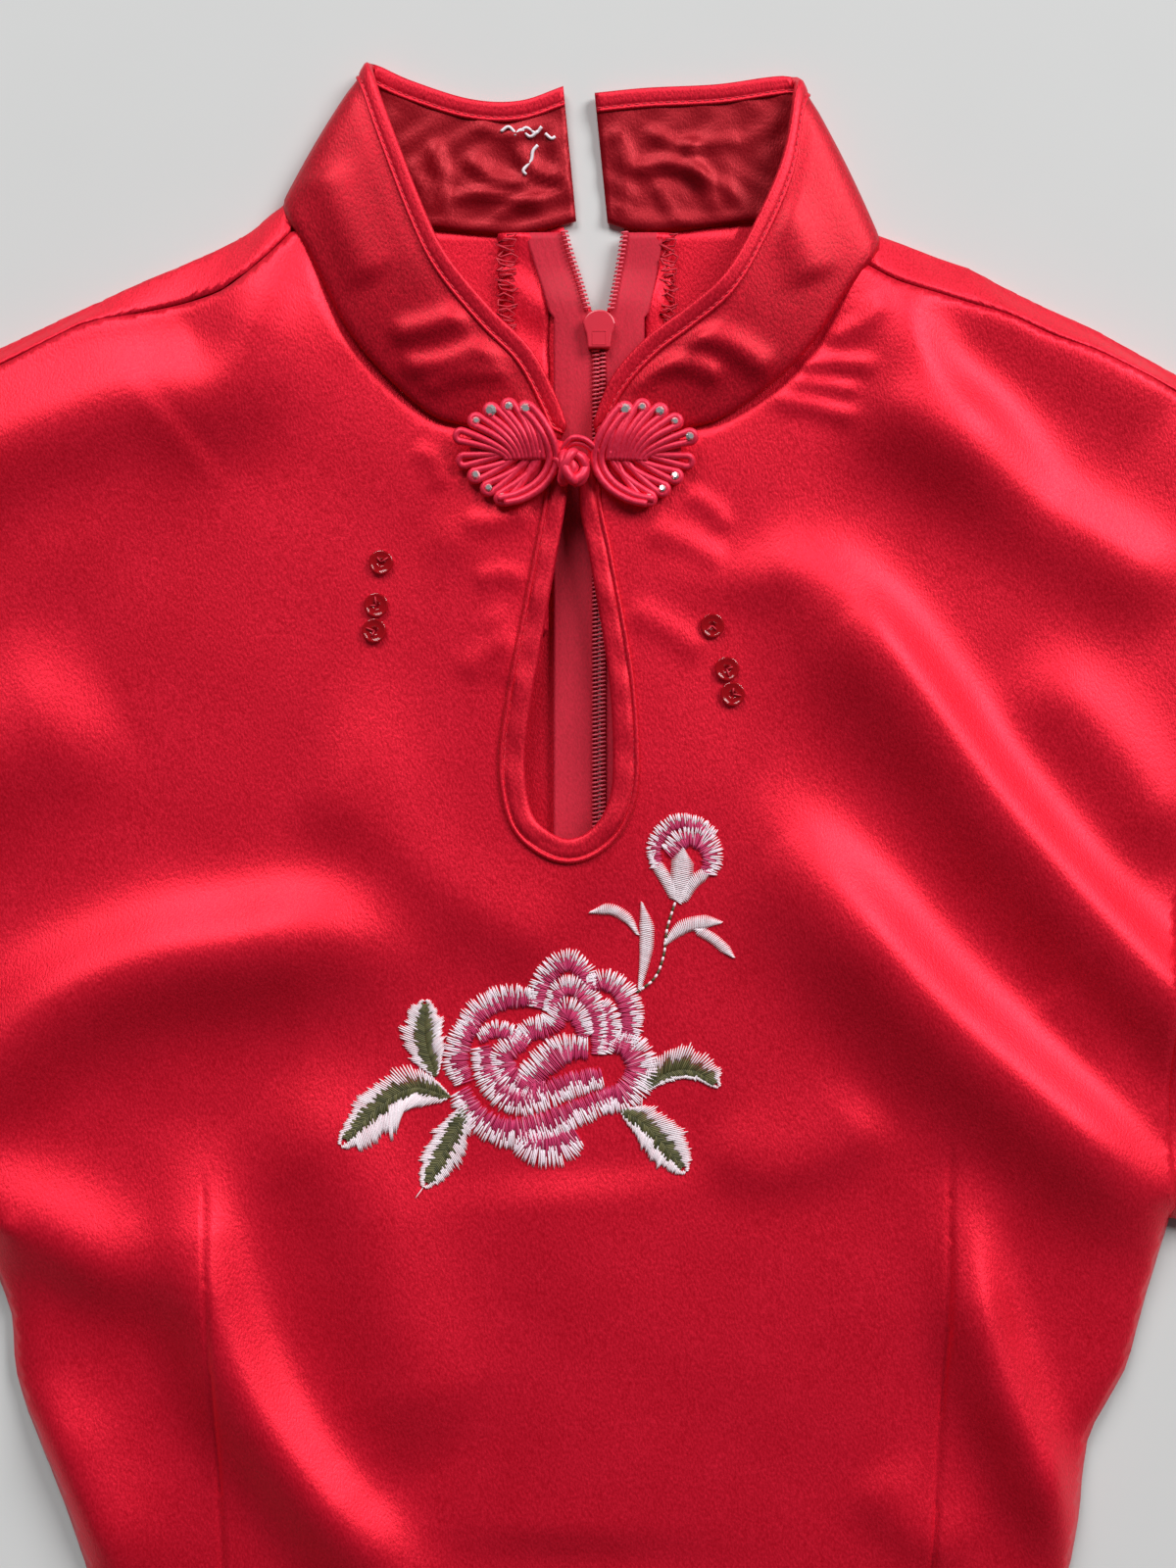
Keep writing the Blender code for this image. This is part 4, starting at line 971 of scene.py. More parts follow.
def sleeve(name, side):
    """A flat tube from the armhole to the cuff."""
    top, bottom = CUFF_LEFT if side < 0 else CUFF_RIGHT
    across, along = 46, 42
    start = smooth_path(ARMS[side], 4)[:, :2]
    start = np.column_stack(
        [np.interp(np.linspace(0, 1, across), np.linspace(0, 1, len(start)), start[:, k]) for k in (0, 1)]
    )
    start[:, 0] -= side * 0.9
    end = np.linspace(top + (bottom - top) * 0.02, bottom, across)
    points = []
    for i in range(along):
        line = start * (1 - i / (along - 1)) + end * i / (along - 1)
        over = front_z(line[:, 0], line[:, 1]) - (0.55 if i == 0 else 0.0)
        out = (line[0] - line[1]) / np.linalg.norm(line[0] - line[1])
        points += [(x, y, 0.0) for x, y in line[::-1]]
        points += [
            (*(line[0] + out * 2.2 * math.sin(a)), over[0] * (1 - math.cos(a)) / 2)
            for a in (0.6, 1.2, 1.8, 2.5)
        ]
        points += [(x, y, z) for (x, y), z in zip(line, over)]
    count = 2 * across + 4
    made = make(name, points, grid_faces(along, count, closed=True), SATIN, outwards=True)
    lowest = min(made.data.polygons, key=lambda face: face.center.z)
    if lowest.normal.z > 0:
        made.data.flip_normals()
    return walled(made, CLOTH)


sleeves = [sleeve("dress_sleeve_left", -1), sleeve("dress_sleeve_right", 1)]
print("sleeves", [len(s.data.polygons) for s in sleeves])

# %% [markdown]
# ## Collar
#
# Each half of the stand collar is a stiffened band of two layers. It stands from the neck seam, leans
# outwards at the front and folds over at the side of the neck, so its lining faces up at the back. The
# outside stays smooth but for a few creases near the frog. The lining is loose over the stiffening, so it
# crumples into short sharp creases.

# %% Collar measurements: ribs of seam x, y, z and edge x, y, z, from the centre back to the frog
COLLAR_WALL = 1.5
EYE = np.array([2.9, -104.4, 656.0])
FRONT_LEVEL = 11.0
COLLAR_LEFT = (
    (-0.6, 62.0, 0.0, -4.4, 101.5, 1.3), (-17.4, 58.0, 0.0, -17.4, 97.2, 1.3),
     (-37.7, 59.2, 0.0, -31.9, 97.7, 1.3),
    (-60.9, 62.0, 0.0, -49.0, 103.0, 1.3), (-82.0, 66.3, 0.0, -58.5, 107.3, 1.3),
     (-86.6, 67.4, 1.6, -61.6, 108.6, 2.6),
    (-88.0, 67.0, 5.2, -62.6, 109.0, 6.0), (-86.2, 62.8, 8.8, -61.4, 106.2, 9.6),
     (-81.2, 55.1, 10.4, -56.0, 91.5, 13.0),
    (-69.6, 31.9, 11.2, -46.4, 66.7, 16.0), (-58.0, 17.4, 11.4, -39.2, 52.2, 17.0),
     (-45.0, 5.8, 11.0, -26.1, 36.3, 15.5),
    (-36.3, 2.3, 10.9, -14.5, 24.7, 14.0), (-20.3, -0.9, 10.8, -7.3, 11.6, 12.0),
     (-5.0, -2.2, 10.8, -3.4, 1.6, 11.2),
)
COLLAR_RIGHT = (
    (8.7, 61.5, 0.0, 4.9, 99.5, 1.3), (21.8, 58.6, 0.0, 20.3, 101.0, 1.3),
     (47.9, 61.3, 0.0, 40.6, 102.0, 1.3),
    (70.0, 61.3, 0.0, 55.0, 104.0, 1.3), (84.0, 58.2, 0.0, 61.5, 104.6, 1.3),
     (88.4, 57.4, 1.6, 64.8, 104.6, 2.6),
    (90.0, 55.8, 5.2, 65.9, 104.0, 6.0), (88.0, 51.6, 8.8, 64.6, 101.0, 9.6),
     (81.2, 43.5, 10.6, 60.9, 81.2, 13.5),
    (69.6, 26.1, 11.4, 52.2, 60.9, 16.5), (58.0, 14.5, 11.6, 43.5, 46.4, 17.5),
     (43.5, 4.4, 11.0, 31.9, 36.3, 15.5),
    (33.4, 1.3, 10.9, 20.3, 27.6, 14.0), (18.9, -1.1, 10.8, 10.2, 16.0, 12.4),
     (5.4, -2.2, 10.8, 4.4, 2.4, 11.2),
)
# Creases of the outside, and of the lining: path, height, width on each side
COLLAR_CREASES = (
    (((-56.5, 27.5), (-43.5, 30.4), (-26.1, 35.4), (-13, 31.9)), 1.5, 3.4, 3.0),
    (((-53.6, 18.8), (-40.6, 19.7), (-24.6, 23.8), (-8.7, 19.7)), 1.4, 3.0, 3.4),
    (((-46.4, 11.6), (-34.8, 15.9), (-20.3, 17.4)), 1.0, 2.6, 2.2),
    (((14.5, 11.6), (20.3, 17.4), (31.9, 19.7), (43.5, 14.5)), 1.4, 3.4, 3.0),
    (((31.9, 27.5), (43.5, 25.5), (58, 15.9)), 1.5, 4.5, 3.4),
    (((18.8, 25.5), (29, 27.5), (37.7, 26.1)), 1.0, 2.6, 2.6),
    (((55.1, 69.6), (63.8, 58), (69.6, 43.5)), 1.0, 6.8, 6.8),
    (((-75.4, 78.3), (-69, 62.3), (-60.9, 43.5)), 1.0, 6.8, 6.8),
)
LINING_CREASES = (
    (((-44.1, 89.9), (-41.5, 78.3), (-40, 63.2)), 1.3, 2.2, 1.5),
    (((-34.8, 84.1), (-26.1, 76.8), (-13, 75.4)), 1.2, 2.6, 1.6),
    (((-39.1, 71), (-26.1, 72.5), (-8.7, 68.1)), 1.3, 2.4, 1.8),
    (((-20.3, 89.9), (-14.5, 79.8), (-4.3, 76.8)), 1.0, 2.6, 1.6),
    (((-31.9, 92.8), (-20.3, 90.5), (-8.7, 92.8)), 0.9, 1.8, 1.8),
    (((-26.1, 65.2), (-14.5, 71), (-2.9, 72.5)), 1.0, 1.6, 2.0),
    (((-8.7, 95.7), (-5.8, 84.1), (-1.4, 69.6)), 0.8, 1.6, 2.2),
    (((-50.8, 84.1), (-47.8, 73.9), (-43.5, 65.2)), 0.9, 2.0, 1.6),
    (((14.5, 79.8), (29, 81.2), (42, 75.4)), 1.3, 2.6, 1.7),
    (((31.9, 91.3), (35.4, 79.8), (42, 65.2)), 1.4, 2.4, 1.5),
    (((22.6, 76.8), (26.1, 69.6), (31.9, 62.3)), 1.2, 2.0, 1.6),
    (((11.6, 92.8), (14.5, 81.2), (12.2, 65.2)), 0.9, 1.6, 1.8),
    (((42, 78.3), (47.8, 71), (51.6, 65.2)), 1.1, 2.4, 1.6),
    (((18.8, 92.8), (31.9, 87), (49.3, 89.9)), 0.9, 1.8, 2.0),
    (((8.7, 69.6), (20.3, 65.2), (34.8, 65.2)), 0.8, 1.4, 1.8),
)


def spread(points):
    """The lower a point lies, the further out from under the camera it has to be to look the same."""
    away = (EYE[2] - points[:, 2:]) / (EYE[2] - FRONT_LEVEL)
    return np.column_stack([EYE[:2] + (points[:, :2] - EYE[:2]) * away, points[:, 2]])


def collar_ribs(rows, side, step=2.0):
    """The collar's seam and edge, with the ways along it and out of it."""
    table = smooth_path(rows, step)
    seam, edge = spread(table[:, :3]), spread(table[:, 3:])
    forward = unit(np.gradient(seam + edge, axis=0))
    outward = unit(np.cross(seam - edge, forward) * -side)
    return seam, edge, forward, outward


def shut_loft(rings):
    """Points and faces of a section carried through its rings and shut at both ends."""
    count = len(rings[0])
    faces = grid_faces(len(rings), count, closed=True)
    for start in (0, (len(rings) - 1) * count):
        low, high = 0, count - 1
        while high - low > 1:
            faces.append((start + low, start + low + 1, start + high - 1, start + high))
            low, high = low + 1, high - 1
    return np.array([p for ring in rings for p in ring]), faces


def collar_half(name, rows, side):
    """A closed band: the outside with its creases, then the crumpled lining."""
    seam, edge, _, outward = collar_ribs(rows, side)
    across = 26
    rings = []
    t = np.linspace(0, 1, across)[:, None]
    for s, e, out in zip(seam, edge, outward):
        line = s + (e - s) * t
        faces_up = out[2]
        from_edge = (1 - t[:, 0]) * np.linalg.norm(e - s)
        by_band = soft_step((from_edge - 5.0) / 6)
        crease = 1.45 * crest_sum(line[:, 0], line[:, 1], COLLAR_CREASES, 3, 4) * max(faces_up, 0) * by_band
        crumple = crest_sum(line[:, 0], line[:, 1], LINING_CREASES, 3, 4) * max(-faces_up, 0)
        crumple += 0.35 * max(-faces_up, 0) * np.sin(
            line[:, 0] / 2.3 + 2 * np.sin(line[:, 1] / 4.1)
        ) * np.sin(line[:, 1] / 3.1)
        crumple *= 1.5 * np.sin(math.pi * t[:, 0]) ** 0.5
        crumple += 0.8 * max(-faces_up, 0) * np.exp(-(((t[:, 0] - 0.05) / 0.03) ** 2))
        bulge = 0.9 * np.sin(math.pi * t[:, 0]) * by_band
        drop = 0.7 * np.exp(-((t[:, 0] / 0.03) ** 2))
        outer = line + out * (crease + bulge - drop)[:, None]
        inner = line - out * (COLLAR_WALL + crumple)[:, None]
        rings.append([*outer, *inner[::-1]])
    points, faces = shut_loft(rings)
    points[:, 2] = np.maximum(points[:, 2], 0.0)
    made = make(name, points, faces, LINING, outwards=True)
    # The lining side is marked inner, where the finish paints it darker: partly its own colour, partly
    # painted shade.
    inner = made.data.attributes.new("inner", "FLOAT", "POINT")
    inner.data.foreach_set("value", np.tile(np.repeat((0.0, 1.0), across), len(rings)).astype(np.float32))
    return made


def edge_band(name, edge, inward, outward, wall, section, finish):
    """A cloth binding round an edge: (in from the edge, up from the face) points, then the same under it."""
    rings = []
    for p, into, out in zip(edge, inward, outward):
        upper = [p + into * a + out * b for a, b in section]
        under = [p + into * a - out * (wall + b) for a, b in section[::-1]]
        rings.append(upper + under)
    points, faces = shut_loft(rings)
    points[:, 2] = np.maximum(points[:, 2], 0.0)
    return make(name, points, faces, finish, outwards=True)


# In from the edge and up from the face: a flat fold, the groove that the stitches pull, a free rolled lip
BAND = (
    (5.6, 0.1), (5.6, 0.4), (5.2, 0.7), (4.75, 0.6), (4.3, 0.15), (3.8, 0.45), (2.6, 0.6), (1.4, 0.6),
    (0.4, 0.6), (-0.35, 0.2),
)
collars, bands, stitch_runs = [], [], []
for name, rows, side in (("left", COLLAR_LEFT, -1), ("right", COLLAR_RIGHT, 1)):
    collars.append(collar_half(f"collar_half_{name}", rows, side))
    seam, edge, forward, outward = collar_ribs(rows, side)
    inward = unit(seam - edge)
    narrow = np.minimum(1, np.linalg.norm(seam - edge, axis=1) / 9)[:, None]
    bands.append(edge_band(f"collar_edge_{name}", edge, inward * narrow, outward, COLLAR_WALL, BAND, EDGE))
    stitch_runs.append(edge + inward * narrow * 4.3 + outward * 0.25)
    stitch_runs.append(edge + inward * narrow * 4.3 - outward * (COLLAR_WALL + 0.25))
print("collar", [len(c.data.polygons) for c in collars])

# %% [markdown]
# ## Keyhole
#
# The opening below the frog is faced: a strip is sewn round it, turned to the front and stitched down a
# little in from its outer fold, which stands up as a cord-like ridge.

# %% Face the keyhole


def keyhole_path():
    path = evenly(smooth_path(KEYHOLE_LEFT + KEYHOLE_RIGHT, 1.5), 1.5)
    path = path[path[:, 1] < -7]
    return path, -left_of(path)


path, away = keyhole_path()
flare = 6.3 * np.interp(path[:, 1], (-122, -100, -18), (1.0, 1.08, 0.85))[:, None]
profile = (
    (-0.4, -1.0), (-0.45, 0.0), (0.02, 0.5), (0.25, 0.6), (0.5, 0.6), (0.74, 0.55), (0.81, 0.1),
    (0.87, 0.5), (0.93, 0.85), (0.99, 0.8), (1.04, 0.1),
)
waver = 0.3 * np.sin(np.arange(len(path)) / 3.4) + 0.2 * np.sin(np.arange(len(path)) / 1.4)
strip = []
for k, (a, b) in enumerate(profile):
    spot = path + away * (a * flare if a > 0 else np.full_like(flare, a))
    lift = b + waver * (0.1 < a < 0.75)
    strip.append(np.column_stack([spot, front_z(*(path + away * max(a, 0) * flare).T) + lift]))
strip = np.array(strip).transpose(1, 0, 2)
keyhole = walled(
    face_up(make("keyhole_edge", strip.reshape(-1, 3), grid_faces(len(path), len(profile)), EDGE)), 0.35
)
stitch_runs.append(on_front(path + away * 0.81 * flare, 0.3))

# %% [markdown]
# ## Stitch lines
#
# A stitch is a short length of thread that dips into the cloth at both ends. One shape, repeated along
# the seams.

# %% Sew


def stitch_line(name, runs, length, gap, thick, finish):
    """Stitches of about one length, a gap apart, along each run."""
    starts, ends = [], []
    for run in runs:
        run = evenly(np.asarray(run, float), gap)
        ahead = unit(np.diff(run, axis=0))
        lengths = length * random.uniform(0.8, 1.15, (len(ahead), 1))
        starts.append(run[:-1])
        ends.append(run[:-1] + ahead * lengths)
    middles, turns, lengths = between(np.vstack(starts), np.vstack(ends))
    sizes = np.column_stack([lengths, np.full(len(lengths), thick), np.full(len(lengths), thick)])
    return repeated(name, STITCH, middles, turns, sizes, finish)


seam_stitches = stitch_line("edge_stitches", stitch_runs, 1.7, 2.3, 0.42, STITCHES)
print("stitches", len(seam_stitches.data.polygons))

# %% [markdown]
# ## The zip
#
# The zip runs down the centre back and shows inside the neck and the keyhole. Its woven tapes carry a
# nylon coil each. The coils mesh below the slider and part above it. The slider is cast and painted, and
# its tab hangs on the other side, under the cloth.

# %% Tapes, coils, slider and tab
TAPE_Z = 1.2 + 0.6 + 1.0
TAPE_WIDTH = 12.0
TOOTH_PITCH = 1.3


def tape(name, side):
    """A ribbed tape that follows its coil."""
    rows = np.concatenate([np.arange(61, -10, -2.0), np.arange(-10, ZIP_END_Y, -5.0)])
    across = np.linspace(0, 1, 15)
    points = []
    for y in rows:
        inner = chain_x(y, side) if y > 36.9 else ZIP_X + side * 1.6
        for t in across:
            x = inner + side * TAPE_WIDTH * t
            rib = 0.08 * math.cos(2 * math.pi * t * 5) if 0.08 < t < 0.9 else 0.0
            points.append((x, y, back_z(x, y) + TAPE_Z + rib + 0.12 * math.sin(y / 11 + t * 4)))
    return walled(face_up(make(name, points, grid_faces(len(rows), len(across)), TAPE)), 0.6)


tapes = [tape("tape_left", -1), tape("tape_right", 1)]
tooth = tube_parts(
    [(-0.95, 0, 0.1), (-0.8, 0, 0.75), (0, 0.12, 0.95), (0.8, 0.2, 0.75), (0.95, 0.2, 0.1)], 0.34, 6
)
TOOTH = template("tooth_shape", *tooth)
spots, turns = [], []
for side in (-1, 1):
    for y in np.arange(60.9, 37.2, -TOOTH_PITCH):
        spots.append((chain_x(y, side) + side * 0.35, y, back_z(chain_x(y, side), y) + TAPE_Z + 0.3))
        turns.append((0, 0, math.pi if side > 0 else 0))
    for y in np.arange(24.6, ZIP_END_Y + 10, -TOOTH_PITCH):
        spots.append((ZIP_X + side * 0.95, y - (0.65 if side > 0 else 0), back_z(ZIP_X, y) + TAPE_Z + 0.3))
        turns.append((0, 0, math.pi if side > 0 else 0))
coils = repeated("zip_coils", TOOTH, spots, turns, np.ones((len(spots), 3)), COIL)
# Dark stitches along each coil; their dark red stands partly for painted shade on the coil.
coil_lines = [
    [(ZIP_X + dx, y, back_z(ZIP_X, y) + TAPE_Z + 0.3 + 0.9) for y in np.arange(24, ZIP_END_Y + 10, -8)]
    for dx in (-1.0, 1.0)
]
coil_thread = stitch_line("coil_stitches", coil_lines, 1.9, 2.1, 0.3, SHADOW_THREAD)


def slab(rows, base, height, bevel):
    """A plate with a rounded rim from rows of y and width."""
    side = [(ZIP_X + w / 2, y) for y, w in rows] + [(ZIP_X - w / 2, y) for y, w in rows[::-1]]
    centre = np.array([ZIP_X, SLIDER_Y])
    rings = []
    for shrink, level in (
        (0, 0), (0, height - bevel), (0.3 * bevel, height - 0.3 * bevel), (bevel, height)
    ):
        ring = np.array(side) - unit(np.array(side) - centre) * shrink
        rings.append(np.column_stack([ring, np.full(len(ring), base + level)]))
    points = np.vstack([*rings, [[*centre, base], [*centre, base + height]]])
    count = len(side)
    faces = grid_faces(4, count, closed=True)
    for i in range(count):
        k = (i + 1) % count
        faces += [(i, k, 4 * count), (3 * count + i, 3 * count + k, 4 * count + 1)]
    return points, faces


base = float(back_z(ZIP_X, SLIDER_Y)) + TAPE_Z + 0.3
turn = np.linspace(0.15, math.pi / 2, 9)
body_rows = [(25.2, 6.3), (25.5, 6.7), (27.5, 7.0), (29.3, 7.6), (30.6, 8.6), (31.6, 9.1)]
body_rows += [(31.8 + 4.7 * math.sin(a), 9.1 * math.cos(a) + 0.6) for a in turn]
# Layers of the slider: share of its width, level, height, bevel
SLIDER_LAYERS = ((1.0, 0.0, 1.0, 0.3), (0.8, 0.9, 1.0, 0.3), (1.0, 1.8, 1.3, 0.5))
slider_bits = [
    slab([(y, w * share) for y, w in body_rows], base + level, height, bevel)
    for share, level, height, bevel in SLIDER_LAYERS
]
slider_bits.append(slab([(29.3, 3.4), (32.7, 3.4)], 0.4, base - 0.2, 0.2))
square = ((-2.0, -4.9), (2.0, -4.9), (2.0, -0.9), (-2.0, -0.9))
panel_rim = [(ZIP_X + x, SLIDER_Y + y, base + 3.1) for x, y in square]
slider_bits.append(tube_parts(panel_rim, 0.16, 6, closed=True))
slider = make("slider_body", *merged(slider_bits), PAINT, smooth=False, outwards=True)


def pull_tab():
    """The tab under the cloth: two arms on a pin, and a plate with rounded corners and a raised rim."""
    z = 1.5
    outline = [
        (-2.6, 0.5), (-1.5, 0.5), (-1.5, -5.0), (1.5, -5.0), (1.5, 0.5), (2.6, 0.5), (2.6, -4.0),
        (3.0, -9.0),
    ]
    outline += [
        (3.0 - 1.6 * (1 - math.cos(a)), -24.4 - 1.6 * math.sin(a)) for a in np.linspace(0, math.pi / 2, 5)
    ]
    outline += [
        (-3.0 + 1.6 * (1 - math.cos(a)), -24.4 - 1.6 * math.sin(a)) for a in np.linspace(math.pi / 2, 0, 5)
    ]
    outline += [(-3.0, -9.0), (-2.6, -4.0)]
    flat = [(ZIP_X + x, SLIDER_Y + y) for x, y in outline]
    count = len(flat)
    points = [(x, y, z - 0.45) for x, y in flat] + [(x, y, z + 0.45) for x, y in flat]
    faces = [(i, (i + 1) % count, count + (i + 1) % count, count + i) for i in range(count)]
    faces += [tuple(range(count))[::-1], tuple(range(count, 2 * count))]
    rim = [(x, y, z) for x, y in flat[7:-1]]
    bits = [(np.array(points), faces), tube_parts(rim, 0.55, 6)]
    bits.append(tube_parts([(ZIP_X - 2.6, SLIDER_Y, z), (ZIP_X + 2.6, SLIDER_Y, z)], 0.5, 10))
    return make("pull_tab", *merged(bits), PAINT, smooth=False, outwards=True)


tab = pull_tab()
print("zip", len(coils.data.polygons), len(slider.data.polygons))

# %% [markdown]
# ## Raw edges at the zip
#
# Inside the neck the backs' seam allowances stick out beside the tapes. They are overlocked: a thread
# zigzags over the raw edge in loose loops. A few white ends of basting thread were left in the collar.

# %% Overlocked allowances and loose ends


def allowance(name, side, inner, outer, top, foot):
    """A strip of seam allowance with a ragged edge."""
    rows = np.arange(top, foot, -1.5)
    points = []
    for k, y in enumerate(rows):
        ragged = 0.5 * math.sin(k * 1.9) + 0.4 * math.sin(k * 0.83)
        for t in np.linspace(0, 1, 7):
            x = inner + (outer + side * ragged * 0.7 - inner) * t
            points.append(
                (x, y, back_z(x, y) + 1.6 + 0.9 * math.sin(3 * t) + 0.5 * math.sin(k * 0.5 + t * 3))
            )
    return walled(face_up(make(name, points, grid_faces(len(rows), 7), SATIN)), CLOTH)


allowances = [
    allowance("allowance_left", -1, -9.0, -24.0, 61, -60),
    allowance("allowance_right", 1, 20.0, 28.5, 61, -60),
]
loops = []
for side, low, high, top in ((-1, -24.5, -18.5, 60), (1, 24.8, 29.5, 60)):
    count = 150
    t = np.linspace(0, 1, count)
    y = top - 62 * t + 0.9 * np.sin(t * 260)
    x = (low + high) / 2 + (high - low) / 2 * np.sin(t * 190 + 1.1 * np.sin(t * 31)) + 0.5 * np.sin(t * 77)
    z = 3.2 + 0.7 * np.cos(t * 190) + 0.4 * np.sin(t * 53)
    loops.append(tube_parts(np.column_stack([x, y, z]), 0.3, 5))
overlock = make("overlock_loops", *merged(loops), STITCHES, outwards=True)
LOOSE_ENDS = (
    ((-23.2, 91.1), (-20.9, 92.5), (-18.3, 90.5), (-15.7, 92.2), (-12.8, 90.8), (-11, 92.5)),
    ((-19.1, 89.9), (-17.1, 91.6), (-14.5, 89.6), (-12.2, 91.1)),
    ((-12.2, 87), (-13.6, 85.3), (-14.2, 82.4), (-16.5, 79.5), (-15.7, 78.3)),
    ((-9.9, 90.5), (-8.1, 89), (-7, 89.6)),
)
ends = []
for row in LOOSE_ENDS:
    path = smooth_path([(x, y, 3.4 + 0.5 * math.sin(3 * k)) for k, (x, y) in enumerate(row)], 0.5)
    ends.append(tube_parts(path, 0.5, 6))
loose_ends = make("loose_thread_ends", *merged(ends), WHITE_THREAD, outwards=True)

# %% [markdown]
# ## The frog
#
# Each shell is one satin cord folded back and forth into nested hairpins. Its turns fan out along the
# rim, with a stone in each, and its runs sweep together beside the opening. Between the shells a knot of
# the same cord passes through a loop.

# %% Coil the cords
CORD_RADIUS = 1.14
SHELL_TURNS_UP = ((-12.4, 4.6), (-8.0, 9.0), (-3.6, 12.0), (1.6, 13.2), (6.6, 12.4))
SHELL_PAD = (
    (-11, 4), (-7, 8), (0, 11), (8, 10), (13, 3), (13, -4), (7, -11), (-1, -12), (-8, -6), (-11, -1)
)
SHELL_TURNS_DOWN = ((-11.6, -2.2), (-8.2, -6.6), (-4.4, -10.4), (-0.4, -13.2))


def frog_z(x, y):
    """What the frog lies on: the front below, the collar's end above."""
    return front_z(x, y, False) + 0.9 + 3.1 * soft_step((np.asarray(y, float) + 12) / 12)


def hairpin(turn_at, ends_x, meet_y, side, centre, level):
    """A run out from the meeting line, round a turn and back."""
    tip = np.array(turn_at)
    toward = unit(np.array([np.mean(ends_x), meet_y]) - tip)
    beside = np.array([-toward[1], toward[0]])
    if beside[0] * np.sign(tip[1] - meet_y) > 0:
        beside = -beside
    points = []
    first, last = ends_x
    bend = meet_y + (tip[1] - meet_y) * 0.45
    for t in np.linspace(0, 1, 15):
        start, control, stop = np.array([first, meet_y]), np.array([first - 0.4, bend]), tip + beside * 1.55
        points.append((1 - t) ** 2 * start + 2 * t * (1 - t) * control + t * t * stop)
    for a in np.linspace(0, math.pi, 9)[1:-1]:
        points.append(tip + beside * 1.55 * math.cos(a) - toward * 1.6 * math.sin(a))
    for t in np.linspace(1, 0, 15):
        start, control, stop = np.array([last, meet_y]), np.array([last - 0.2, bend]), tip - beside * 1.55
        points.append((1 - t) ** 2 * start + 2 * t * (1 - t) * control + t * t * stop)
    points = np.array(points)
    x = centre[0] - side * points[:, 0]
    y = centre[1] + points[:, 1]
    lift = CORD_RADIUS + level + 0.5 * np.exp(-(((points[:, 0] - 12) / 5) ** 2))
    return np.column_stack([x, y, frog_z(x, y) + lift])


def frog_shell(name, side, centre):
    """One fan of hairpins with a doubled rim on a scalloped backing, and where its turns are."""
    parts = []
    up = np.linspace(1.0, 11.6, 2 * len(SHELL_TURNS_UP))
    down = np.linspace(1.4, 11.0, 2 * len(SHELL_TURNS_DOWN))
    for k, turn_at in enumerate(SHELL_TURNS_UP):
        parts.append(hairpin(turn_at, (up[2 * k], up[2 * k + 1]), -2.0, side, centre, 0.35 + 0.1 * (k % 2)))
    for k, turn_at in enumerate(SHELL_TURNS_DOWN):
        parts.append(
            hairpin(turn_at, (down[2 * k], down[2 * k + 1]), 0.6, side, centre, 0.1 + 0.1 * (k % 2))
        )
    rim = [
        (7.8, 13.6), (11.2, 9.6), (14.2, 4.4), (15.8, -1.0), (14.6, -6.0), (11.0, -10.6), (5.5, -13.8),
        (0.2, -15.0),
    ]
    rim = smooth_path(rim, 1.0)
    for inset in (0.0, 2.1):
        x, y = centre[0] - side * (rim[:, 0] - inset), centre[1] + rim[:, 1] * (1 - inset / 22)
        parts.append(np.column_stack([x, y, frog_z(x, y) + CORD_RADIUS + 1.5 - 0.15 * inset]))
    pad = [(centre[0] - side * a * 0.9, centre[1] + b * 0.9) for a, b in SHELL_PAD]
    pad = evenly(smooth_path(pad + pad[:1], 2), 2)[:-1]
    top = [
        np.column_stack([pad, frog_z(pad[:, 0], pad[:, 1]) + 0.7]),
        np.column_stack([pad, frog_z(pad[:, 0], pad[:, 1])]),
    ]
    count = len(pad)
    backing = (
        np.vstack(top),
        grid_faces(2, count, closed=True) + [tuple(range(count)), tuple(range(count, 2 * count))[::-1]],
    )
    made = make(
        name, *merged([backing] + [tube_parts(p, CORD_RADIUS, 8) for p in parts]), CORD, outwards=True
    )
    turns = [*SHELL_TURNS_UP, *SHELL_TURNS_DOWN]
    spots = np.array([(centre[0] - side * x, centre[1] + y) for x, y in turns])
    return made, spots


frogs = [frog_shell("frog_cords_left", -1, (-22.0, -6.6)), frog_shell("frog_cords_right", 1, (20.4, -6.8))]
stone_spots = np.vstack([frogs[0][1][[1, 2, 3, 4, 6, 7, 8]], frogs[1][1][[0, 1, 2, 3, 4, 6, 7, 8]]])
rings = []
for radius, height in ((1.1, 0.0), (1.1, 0.25), (0.66, 0.7)):
    rings.append(
        [(radius * math.cos(a), radius * math.sin(a), height) for a in np.linspace(0, 2 * math.pi, 9)[:-1]]
    )
stone = (
    np.array(rings).reshape(-1, 3), grid_faces(3, 8, closed=True) + [tuple(range(8)), tuple(range(16, 24))]
)
STONE_SHAPE = template("stone_shape", *stone)
sizes = np.array([1.0, 1.0, 1.0, 1.1, 1.6, 1.5, 1.2, 1.2, 1.1, 1.0, 1.1, 1.6, 1.3, 1.1, 1.2])
sizes = sizes[random.permutation(len(sizes))][:, None] * (1, 1, 1.25)
spots = np.column_stack([stone_spots, frog_z(stone_spots[:, 0], stone_spots[:, 1]) + 2.2])
tilts = np.column_stack(
    [random.uniform(low, high, len(spots)) for low, high in ((-0.3, 0.3), (-0.3, 0.3), (0, 3))]
)
stones = repeated("frog_stones", STONE_SHAPE, spots, tilts, sizes, STONE, smooth=False)

